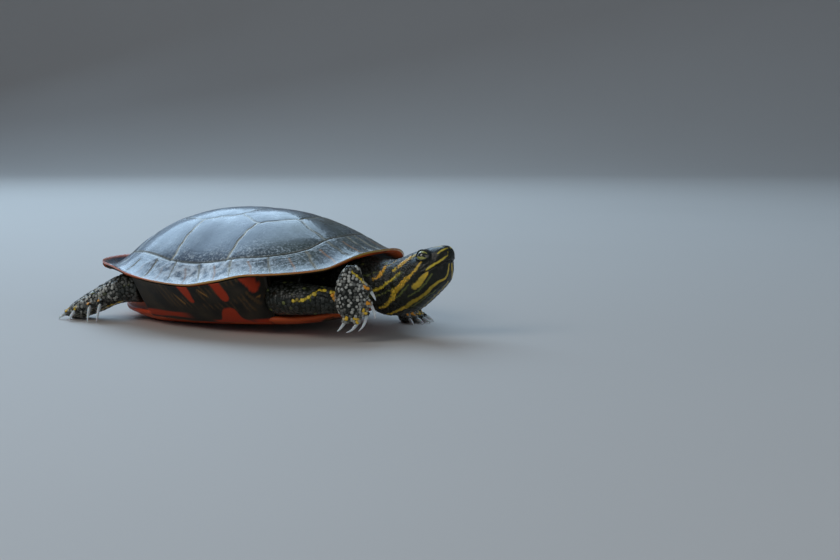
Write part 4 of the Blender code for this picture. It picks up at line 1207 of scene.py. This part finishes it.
STRIPES = []
for line, widths, tint in FACE_STRIPES:
    STRIPES += [(snapped(line), widths, tint), (snapped(mirror_line(line)), widths, tint)]
STRIPES.append((snapped(CHIN_MIDDLE), (0.3, 0.5, 0.4), 0.25))
RAISED_STRIPE = [(52.1, -35.2, 15.8), (54.8, -34.9, 15.9), (57.6, -34.0, 17.0), (60.5, -30.8, 19.4),
                 (62.3, -28.6, 20.1), (64.2, -27.9, 19.8), (66.3, -27.4, 19.1)]
STRIPES.append((snapped(RAISED_STRIPE), (0.35, 0.5, 0.6, 0.6), 0.15))
STRIPES.append((snapped([(66.2, -28.0, 18.7), (66.8, -28.8, 16.5)]), (0.6, 0.55), 0.9))
HAND_STRIPE = [(73.6, -26.3, 28.0), (75.3, -25.7, 26.0), (76.8, -24.0, 24.5), (78.3, -22.2, 22.5)]
STRIPES.append((snapped(HAND_STRIPE), (0.3, 0.45), 0.1))
# Three stripes along each other limb and the tail, each from one share of the
# length to another and from one angle about it to another; a spot on every toe.
LIMB_STRIPES = {
    "planted": [((0.15, 0.8), (10, 30)), ((0.2, 0.75), (80, 95)), ((0.2, 0.7), (-30, -20))],
    "hind_right": [((0.1, 0.55), (160, 185)), ((0.1, 0.6), (215, 235)), ((0.3, 0.62), (300, 285))],
    "hind_left": [((0.1, 0.55), (20, -5)), ((0.1, 0.6), (-35, -55)), ((0.3, 0.62), (240, 255))],
    "tail": [((0.15, 0.9), (35, 30)), ((0.15, 0.9), (145, 150)), ((0.2, 0.9), (250, 265))],
}
for name, lines in LIMB_STRIPES.items():
    for shares, angles in lines:
        STRIPES.append((snapped(limb_place(name, shares, np.radians(angles))), (0.35, 0.55, 0.3), 0.3))
for toes, radius, back_way in TOES.values():
    for number, toe in enumerate(toes):
        start, end, _ = (np.asarray(point, float) for point in toe)
        spot = start + (end - start) * 0.45 + radius * np.asarray(back_way)
        STRIPES.append((snapped([spot, spot + (end - start) * 0.25]), (0.75,), 0.9 if number < 2 else 0.35))
olive = [snapped(line) for one in OLIVE_LINES for line in (one, mirror_line(one))]
speckle_rng = np.random.default_rng(71)
speckles = []
for name, number in (("raised", 50), ("planted", 36), ("hind_right", 40), ("hind_left", 40), ("neck", 50)):
    shares = speckle_rng.uniform(0.1, 0.95, number)
    turns = speckle_rng.uniform(0, 2 * np.pi, number)
    speckles.append(limb_place(name, shares, turns))
speckles = np.concatenate(speckles)
speckle_sizes = speckle_rng.uniform(0.3, 0.75, len(speckles))


def skin_marks(points):
    """Shares of yellow, of orange in it, and of olive speckling, for places on
    the skin; the scales over it ask with their roots."""
    yellow = np.zeros(len(points))
    orange = np.zeros(len(points))
    wander = 0.10 * ripple(points, 3.6, 51) + 0.05 * ripple(points, 1.2, 52)
    for line, widths, tint in STRIPES:
        inside = ((points > line.min(0) - 2.5) & (points < line.max(0) + 2.5)).all(axis=1)
        spots = points[inside]
        if len(spots) == 0:
            continue
        gap = np.sqrt(((spots[:, None] - line[None]) ** 2).sum(-1))
        half = np.interp(np.linspace(0, 1, len(line)), np.linspace(0, 1, len(widths)), widths)
        cover = step(0.22, -0.18, (gap - half).min(axis=1) + wander[inside])
        yellow[inside] = np.maximum(yellow[inside], cover)
        orange[inside] = np.where(cover > 0.02, tint, orange[inside])
    faint = np.zeros(len(points))
    for line in olive:
        inside = ((points > line.min(0) - 2) & (points < line.max(0) + 2)).all(axis=1)
        gap = np.linalg.norm(points[inside][:, None] - line[None], axis=-1).min(axis=1)
        faint[inside] = np.maximum(faint[inside], step(0.45, 0.15, gap + wander[inside]))
    for centre, size in zip(speckles, speckle_sizes):
        inside = (np.abs(points - centre) < 1.2).all(axis=1)
        gap = np.linalg.norm(points[inside] - centre, axis=1)
        faint[inside] = np.maximum(faint[inside], step(size + 0.25, size - 0.2, gap))
    return yellow, orange, faint


yellow, orange, faint = skin_marks(flesh)
on_lids = step(0.90, 1.0, lids) * step(1.45, 1.2, lids)
# Two of these masks paint light on the head: painted shade low down, and a painted sheen on the crown.
add_masks(skin, yellow=yellow * (1 - on_lids), orange=orange, olive=faint,
          deep=on_head * step(27, 15, flesh[:, 2]), crown=on_head * step(0.5, 3.0, up),
          socket=step(1.03, 0.97, lids),
          mouth=along_mouth * np.exp(-((below / 0.3) ** 2)))

YELLOW = (0.80, 0.62, 0.05)
ORANGE = (0.88, 0.32, 0.02)
hide = Finish("skin_wet_dark", 0.38, Coat_Weight=0.06, Coat_Roughness=0.2, Specular_IOR_Level=0.3)
# Stripes low on the head turn dark gold: painted shade under the head.
stripe_colour = hide.layers(
    YELLOW, ("orange", ORANGE), (hide.patches(300, 0.3, 0.75, detail=3), (0.42, 0.33, 0.05)),
    (hide.times("deep", 0.7), (0.22, 0.15, 0.010)))
colour = hide.mix(hide.patches(90, 0.35, 0.7), (0.006, 0.007, 0.004), (0.016, 0.019, 0.010))
# A lighter, bluish crown: painted sheen on the top of the head.
colour = hide.layers(
    colour, (hide.times("crown", 0.5), (0.016, 0.022, 0.026)),
    (hide.times("olive", 0.75), (0.14, 0.16, 0.035)), ("yellow", stripe_colour),
    ("socket", (0.004, 0.004, 0.004)), ("mouth", (0.006, 0.006, 0.005)))
grain = hide.bump(hide.cells(1000), 0.00012, 0.6)
grain = hide.bump(hide.noise(1800, 3, 0.6), 0.00006, 0.5, grain)
skin.data.materials.append(hide.close(colour, hide.patches(160, 0.3, 0.75, 0.26, 0.5, detail=3), grain))
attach(skin, "root")
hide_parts("trunk", "neck", "tail", "head", "lower_jaw", "upper_arm_right", "forearm_right",
            "hand_right", "upper_arm_left", "forearm_left", "hand_left", "thigh_right", "shank_right",
            "foot_right", "thigh_left", "shank_left", "foot_left")

# --- Scales ----------------------------------------------------------------------
# Horny scales that grow from the skin: rounded beads on limbs, feet, tail and the
# nape, in staggered rows, widest across the forearms and smallest on the neck.

SIDES = 8                     # corners of a scale's outline
EACH = 2 + 2 * SIDES          # points of one scale
LONG_HALF = 0.66              # of a row's spacing
WIDE_HALF = 0.60              # of the spacing within a row
FARTHEST_ROOT = 1.7           # a scale farther than this from any skin is left out,
SOLE = 0.5                    # as is one lower than this over the floor
BARE_LIDS = 1.6               # or nearer than this to an eye's slit, in its own shares
TILE = 0.16                   # width of a limb's own strip on the unwrap
PATCH_INNER = 0.0009          # half widths of a scale's own patch there
PATCH_OUTER = 0.0015
scale_rng = np.random.default_rng(83)
scale_turns = 2 * np.pi * np.arange(SIDES) / SIDES


def rows_of_scales(name, first, last, long_mm, wide_mm):
    """Staggered rows round a limb: shares of its length and angles of the roots,
    a little out of line, with as many to a row as the limb's girth there takes."""
    rows, _, _, stops = curves[name]
    reach = stops[-1]
    shares, angles = [], []
    place = first * reach
    number = 0
    while place < last * reach:
        count = max(5, int(np.interp(place, stops, rows[:, 3] + rows[:, 4]) * np.pi / wide_mm))
        shares.append(np.full(count, place / reach))
        angles.append(2 * np.pi * (np.arange(count) + 0.5 * (number % 2)) / count)
        place += long_mm
        number += 1
    shares, angles = np.concatenate(shares), np.concatenate(angles)
    shares = shares + scale_rng.normal(0, 0.16 * long_mm / reach, len(shares))
    return np.clip(shares, first, last), angles + scale_rng.normal(0, 0.05, len(angles))


def nearest_skin(points):
    """For each place the nearest skin point's number, found within small boxes."""
    found = np.empty(len(points), np.int64)
    order = np.argsort(points[:, 0])
    for chunk in np.array_split(order, max(1, len(points) // 60)):
        spots = points[chunk]
        near = np.flatnonzero(((flesh > spots.min(0) - 4) & (flesh < spots.max(0) + 4)).all(axis=1))
        found[chunk] = near[((spots[:, None] - flesh[near][None]) ** 2).sum(-1).argmin(axis=1)]
    return found


def domes(roots, normals, ways, long_half, wide_half, height):
    """Closed low domes on the skin: crown, shoulder ring, sunken outline, base."""
    ahead = unit(ways - (ways * normals).sum(1)[:, None] * normals)
    across = np.cross(normals, ahead)
    rings = []
    for spread, lift in ((0.70, 0.82), (1.0, -0.30)):
        ring = (np.cos(scale_turns)[None, :, None] * (long_half * spread)[:, None, None] * ahead[:, None]
                + np.sin(scale_turns)[None, :, None] * (wide_half * spread)[:, None, None] * across[:, None])
        rings.append(roots[:, None] + ring + (height * lift)[:, None, None] * normals[:, None])
    crown = roots + height[:, None] * normals
    base = roots - 0.6 * height[:, None] * normals
    points = np.concatenate([crown[:, None], *rings, base[:, None]], axis=1)
    here = np.arange(SIDES)
    after = (here + 1) % SIDES
    top = np.stack([np.zeros(SIDES, int), 1 + here, 1 + after], 1)
    bottom = np.stack([np.full(SIDES, 1 + 2 * SIDES), 1 + SIDES + after, 1 + SIDES + here], 1)
    wall = np.stack([1 + here, 1 + SIDES + here, 1 + SIDES + after, 1 + after], 1)
    starts = (np.arange(len(roots)) * EACH)[:, None, None]
    ends = np.concatenate([top, bottom])
    return points.reshape(-1, 3), (wall[None] + starts).reshape(-1, 4), (ends[None] + starts).reshape(-1, 3)


def root_rows(places, ways, uv, long_mm, wide_mm, pale, height):
    """Roots of scales with a row of values for each."""
    sizes = [np.full(len(places), size) for size in (long_mm * LONG_HALF, wide_mm * WIDE_HALF)]
    return (places, np.broadcast_to(ways, places.shape), uv, *sizes, np.broadcast_to(pale, len(places)),
            np.full(len(places), height))


skin_normals = point_normals(flesh, flesh_quads, flesh_tris)
# Limb, stretch of its length, scale length and width, how pale, height. How pale also paints light and
# shade: near-black on the raised arm in the shell's shade, and paler on the lit right hind foot than the
# left.
BEADS = [
    ("raised", 0.12, 0.98, 1.6, 1.8, 0.10, 0.20), ("hand", 0.03, 0.985, 1.2, 1.3, 1.15, 0.30),
    ("planted", 0.12, 0.55, 1.7, 2.0, 0.2, 0.24), ("planted", 0.55, 0.985, 1.3, 1.4, 0.45, 0.30),
    ("hind_right", 0.10, 0.35, 1.5, 1.6, 0.3, 0.28), ("hind_right", 0.35, 0.985, 1.35, 1.45, 0.95, 0.28),
    ("hind_left", 0.10, 0.6, 1.5, 1.6, 0.5, 0.26), ("hind_left", 0.6, 0.985, 1.3, 1.4, 0.5, 0.28),
    ("tail", 0.05, 0.97, 1.4, 1.5, 0.2, 0.22), ("neck", 0.34, 0.99, 0.80, 0.86, 0.09, 0.09),
]
GROUPS = {"tail": "hind", "hind_right": "hind", "hind_left": "hind", "neck": "neck"}   # the rest is "fore"
groups = {"fore": [], "hind": [], "neck": []}
tiles = list(LIMBS)
for name, first, last, long_mm, wide_mm, pale, height in BEADS:
    shares, angles = rows_of_scales(name, first, last, long_mm, wide_mm)
    places = limb_place(name, shares, angles)
    ways = limb_place(name, shares + 0.02, angles) - places
    across_tile = tiles.index(name) + 0.1 + 0.8 * (angles % (2 * np.pi)) / (2 * np.pi)
    uv = np.stack([TILE * across_tile, 0.45 * shares + 0.02], 1)
    groups[GROUPS.get(name, "fore")].append(root_rows(places, ways, uv, long_mm, wide_mm, pale, height))

# Every toe carries five rows of seven scales round its back and sides.
share = np.repeat(np.linspace(0.25, 1.0, 5), 7)
angle = np.tile(np.radians(np.linspace(-65, 245, 7)), 5)
for tile, (name, (toes, radius, back_way)) in enumerate(TOES.items()):
    for number, toe in enumerate(toes):
        table, ahead, side, rise = toe_stations(toe, radius, back_way)
        row = between_stations(table, share)
        places = row[:, :3] + row[:, 3:4] * (np.cos(angle)[:, None] * side + np.sin(angle)[:, None] * rise)
        uv = np.stack([0.04 + 0.1 * number + 0.012 * angle, 0.55 + 0.1 * tile + 0.08 * share], 1)
        groups[GROUPS.get(name, "fore")].append(
            root_rows(places, ahead, uv, 1.15, 1.3, 0.8 if name == "hand" else 0.45, 0.26))

# From the ears back the nape carries the same fine beads, paler towards the neck.
back, angle = np.meshgrid(np.arange(14.5, 25.5, 0.80), np.linspace(0, np.pi, 40), indexing="ij")
angle = angle + 0.046 * (np.arange(len(back)) % 2)[:, None]
nape = head_slices(back, angle).reshape(-1, 3)
nape = nape + scale_rng.normal(0, 0.08, nape.shape)
nape_uv = np.stack([0.55 + 0.4 * angle.ravel() / np.pi, 0.6 + 0.012 * back.ravel()], 1)
nape_pale = 0.08 + 0.08 * step(14, 22, back.ravel())
groups["neck"].append(root_rows(nape, BACKWARD, nape_uv, 0.80, 0.82, nape_pale, 0.08))

scale_horn = Finish("scale_horn", 0.34, Coat_Weight=0.1, Coat_Roughness=0.15, IOR=1.4)
grey = scale_horn.layers((0.014, 0.016, 0.011), ("tone", (0.52, 0.51, 0.45)),
                         (scale_horn.times("olive", 0.8), (0.20, 0.22, 0.06)))
colour = scale_horn.layers(grey, ("yellow", scale_horn.mix("orange", YELLOW, ORANGE)),
                           ("rim", (0.014, 0.016, 0.012)))
scale_material = scale_horn.close(colour, None, scale_horn.bump(scale_horn.noise(1500, 3), 0.00005, 0.6))
for key, sets in groups.items():
    values = [np.concatenate(column) for column in zip(*sets)]
    found = nearest_skin(values[0])
    on_skin = np.linalg.norm(flesh[found] - values[0], axis=1) < FARTHEST_ROOT
    kept = on_skin & (flesh[found][:, 2] > SOLE) & (lids[found] > BARE_LIDS)
    _, ways, uvs, long_half, wide_half, pale, height = (column[kept] for column in values)
    roots, normals = flesh[found][kept], skin_normals[found][kept]
    count = len(roots)
    size = scale_rng.uniform(0.82, 1.12, count)
    rise = height * scale_rng.uniform(0.8, 1.25, count)
    points, quads, tris = domes(roots, normals, ways, long_half * size, wide_half * size, rise)
    points[:, 2] = np.maximum(points[:, 2], 0.02)
    beads = add_piece("scales_" + key, points, quads, tris)
    # Paler on top than below, a painted highlight as from light overhead, and each a shade of its own; the
    # skin's marks go on.
    lit = pale * (0.75 + 0.6 * np.clip(normals[:, 2], 0, 1))
    tone = np.clip(lit * scale_rng.beta(0.8, 1.0, count) * 1.45, 0, 1) ** 1.4
    tone, yellow, orange, faint = (np.repeat(shade, EACH) for shade in (tone, *skin_marks(roots)))
    add_masks(beads, tone=tone, yellow=yellow, orange=orange, olive=faint,
              rim=np.tile(np.arange(EACH) > SIDES, count))
    # Each bead is a small patch at its root's place on the limbs' own unwrap.
    circle = np.stack([np.cos(scale_turns), np.sin(scale_turns)], 1)
    patch = np.concatenate([[[0, 0]], PATCH_INNER * circle, PATCH_OUTER * circle, [[0, 0]]])
    spots = np.repeat(uvs, EACH, axis=0) + np.tile(patch, (count, 1))
    layer = beads.data.uv_layers.new(name="OFBake")
    corners = np.concatenate([quads.ravel(), tris.ravel()])
    layer.data.foreach_set("uv", spots[corners].astype(np.float32).ravel())
    beads.data.materials.append(scale_material)
    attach(beads, "root")

# --- Eyes ------------------------------------------------------------------------
# A wet ball in each socket: a black round pupil in a yellow-green iris that a dark
# bar crosses from lid to lid, under a clear, slightly domed front.

PUPIL = 0.95
IRIS = 2.35
BAR_HALF = 0.77
BALL_TURNS = 72
wet_ball = Finish("eye_wet", 0.06, Coat_Weight=1.0, Coat_Roughness=0.02, IOR=1.38)
flecks = wet_ball.patches(1600, 0.3, 0.75, detail=3)
iris_colour = wet_ball.mix(flecks, (0.24, 0.26, 0.04), (0.52, 0.48, 0.12))
eye_material = wet_ball.close(wet_ball.layers(
    (0.035, 0.035, 0.015), ("iris", iris_colour), ("ring", (0.60, 0.54, 0.18)),
    ("bar", (0.012, 0.010, 0.006)), ("pupil", (0.002, 0.002, 0.002))))
for word, side in EYE_SIDES:
    outward, level, upright = eye_axes(side)
    slant = np.concatenate([np.linspace(0.004, 1.15, 60), np.linspace(1.2, np.pi - 0.03, 22)])[:, None, None]
    spin = (2 * np.pi * (np.arange(BALL_TURNS) + 0.5) / BALL_TURNS)[None, :, None]
    radius = EYE_RADIUS - 0.06 + 0.16 * np.exp(-((slant / 0.55) ** 4))
    around = np.cos(spin) * level + np.sin(spin) * upright
    ball = radius * (np.cos(slant) * outward + np.sin(slant) * around)
    points, quads, fans = closed_rings(EYES[word] + ball)
    if side < 0:
        quads, fans = quads[:, ::-1], fans[:, ::-1]
    eye = add_piece("eyeball_" + word, points, quads, fans)
    way = points - EYES[word]
    long_way, high_way = way @ level, way @ upright
    spread = np.hypot(long_way, high_way)
    front = way @ outward > 0
    bar = step(BAR_HALF + 0.15, BAR_HALF - 0.15, np.abs(high_way) + 0.10 * np.sin(3 * long_way))
    bar *= step(3.1, 2.6, np.abs(long_way)) * step(0.62, 0.80, spread)
    add_masks(eye, pupil=front * step(PUPIL + 0.06, PUPIL - 0.06, spread), bar=front * bar,
              iris=front * step(IRIS + 0.2, IRIS - 0.1, spread),
              ring=front * np.exp(-(((spread - PUPIL - 0.16) / 0.11) ** 2)))
    eye.data.materials.append(eye_material)
    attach(eye, "root")
    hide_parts("eye_" + word)

# --- Claws -----------------------------------------------------------------------
# Long, gently curved claws of pale bluish horn, darker at the root, five on each
# hand and four on each foot, set into the toes' ends.

CLAW_RADIUS = 1.0
CLAW_FLAT = 0.78              # its width over its height
CLAW_ARCH = 0.14              # of its length
CLAW_ROOT = 0.5               # how far it is set into the toe
CLAW_TURNS = 14


def claw_rings(toe, back):
    """A horn that leaves the toe along its own way, bends evenly down to its tip
    and narrows as a root of what is left of it."""
    start, end, tip = (np.asarray(point, float) for point in toe)
    ahead = unit(end - start)
    root = end - CLAW_ROOT * ahead
    arch = CLAW_ARCH * np.linalg.norm(tip - root) * unit(2 * ahead + np.asarray(back, float))
    share = np.concatenate([np.linspace(0, 0.9, 16), [0.95, 0.98, 0.995]])[:, None]
    centre = root + (tip - root) * share + arch * 4 * share * (1 - share)
    way = unit(np.gradient(centre, axis=0))
    side = unit(np.cross(np.asarray(back, float), way))[:, None]
    rise = np.cross(way[:, None], side)
    thick = CLAW_RADIUS * ((1 - share) ** 0.62)[:, None]
    angle = (2 * np.pi * (np.arange(CLAW_TURNS) + 0.5) / CLAW_TURNS)[None, :, None]
    rings = (centre[:, None] + CLAW_FLAT * thick * np.cos(angle) * side
             + thick * (np.sin(angle) + 0.15 * np.cos(2 * angle)) * rise)
    rings[..., 2] = np.maximum(rings[..., 2], 0.0)
    return closed_rings(rings), np.concatenate([np.repeat(share[:, 0], CLAW_TURNS), [0, 1]])


claw_horn = Finish("claw_horn", 0.22, Coat_Weight=0.4, Coat_Roughness=0.08, Subsurface_Weight=0.15,
                   Subsurface_Scale=0.001)
colour = claw_horn.layers((0.34, 0.36, 0.34), ("length", (0.80, 0.85, 0.86)),
                          (claw_horn.patches(500, 0.45, 0.75, detail=3), (0.58, 0.62, 0.62)))
claw_material = claw_horn.close(colour, None, claw_horn.bump(claw_horn.noise(900, 3), 0.00006, 0.5))
for name, node in (("hand", "hand_right"), ("planted", "hand_left"), ("hind_right", "foot_right"),
                   ("hind_left", "foot_left")):
    toes, _, back = TOES[name]
    made = [claw_rings(toe, back) for toe in toes]
    claws = add_piece(node + "_claws", *joined([blob for blob, _ in made]))
    add_masks(claws, length=np.clip(np.concatenate([shares for _, shares in made]) * 1.8, 0, 1))
    claws.data.materials.append(claw_material)
    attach(claws, "root")
    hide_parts(*[node + "_claw_" + str(number + 1) for number in range(len(toes))])

# --- Studio ----------------------------------------------------------------------
# A plain pale floor that runs up into a plain backdrop, four large soft lights
# with cool sky-like ones overhead and behind, and the camera low by the right front.

CAMERA_PLACE = (393.9, -484.6, 90.0)
CAMERA_FORWARD = (-0.5298, 0.8401, -0.1164)
CAMERA_RIGHT = (0.8458, 0.5334, 0.0)
CAMERA_LENS = 62.14
SENSOR_WIDTH = 36.0
FLOOR_NEAR = -2.2             # this and the rest of the floor in metres
FLOOR_HALF = 3
BEND_START = 1.4
BEND_RADIUS = 0.8
WALL_HEIGHT = 3.0


def sweep_floor():
    """A flat floor that bends up into a far wall: level out to the bend, then a
    quarter circle, then upright, as one strip turned to face the camera."""
    bend = np.linspace(0, np.pi / 2, 24)
    run = np.concatenate([[FLOOR_NEAR], BEND_START + BEND_RADIUS * np.sin(bend), [BEND_START + BEND_RADIUS]])
    height = np.concatenate([[0.0], BEND_RADIUS - BEND_RADIUS * np.cos(bend), [WALL_HEIGHT]])
    side = np.array(CAMERA_RIGHT)
    forward = np.array([-side[1], side[0], 0.0])
    across = np.array([-FLOOR_HALF, FLOOR_HALF])
    grid = (run[:, None, None] * forward + height[:, None, None] * np.array([0, 0, 1.0])
            + across[None, :, None] * side)
    mesh = bpy.data.meshes.new("studio_floor")
    quads = [(2 * k, 2 * k + 1, 2 * k + 3, 2 * k + 2) for k in range(len(run) - 1)]
    mesh.from_pydata(grid.reshape(-1, 3).tolist(), [], quads)
    mesh.polygons.foreach_set("use_smooth", np.ones(len(quads), bool))
    floor = bpy.data.objects.new("studio_floor", mesh)
    bpy.context.collection.objects.link(floor)
    return floor


floor = sweep_floor()
paper = Finish("studio_paper", 0.7)
colour = paper.mix(paper.noise(3, 2), (0.58, 0.535, 0.49), (0.62, 0.575, 0.53))
floor.data.materials.append(paper.close(colour))


def soft_light(name, place, size, watts, colour, aim=(0, 0, 0.02)):
    """A square soft light at a place, turned to shine at its aim in the shell."""
    light = bpy.data.lights.new(name, "AREA")
    light.shape = "SQUARE"
    light.size = size
    light.energy = watts
    light.color = colour
    lamp = bpy.data.objects.new(name, light)
    lamp.location = place
    lamp.rotation_euler = (Vector(aim) - Vector(place)).to_track_quat("-Z", "Y").to_euler()
    bpy.context.collection.objects.link(lamp)


soft_light("sky_overhead", (-0.75, 0.45, 0.95), 1.1, 12, (0.55, 0.77, 1.0))
soft_light("sky_behind", (-1.45, 0.75, 0.75), 1.0, 1.6, (0.50, 0.73, 1.0))
soft_light("key_from_camera_left", (-0.35, -0.9, 0.75), 0.55, 3.2, (1.0, 0.96, 0.90))
soft_light("fill_from_front", (0.95, -0.35, 0.35), 0.6, 0.9, (1.0, 0.97, 0.93), (0.03, 0, 0.02))

world = bpy.data.worlds.new("studio_air")
world.use_nodes = True
world.node_tree.nodes["Background"].inputs["Color"].default_value = (0.52, 0.64, 0.80, 1)
world.node_tree.nodes["Background"].inputs["Strength"].default_value = 0.26
bpy.context.scene.world = world
bpy.context.scene.view_settings.view_transform = "Standard"

lens = bpy.data.cameras.new("studio_camera")
lens.lens = CAMERA_LENS
lens.sensor_width = SENSOR_WIDTH
lens.clip_start = 0.01
camera = bpy.data.objects.new("studio_camera", lens)
right = Vector(CAMERA_RIGHT)
back = -Vector(CAMERA_FORWARD)
up = back.cross(right)
camera.matrix_world = Matrix((right, up, back)).transposed().to_4x4()
camera.matrix_world.translation = Vector(metres(CAMERA_PLACE))
bpy.context.collection.objects.link(camera)
bpy.context.scene.camera = camera
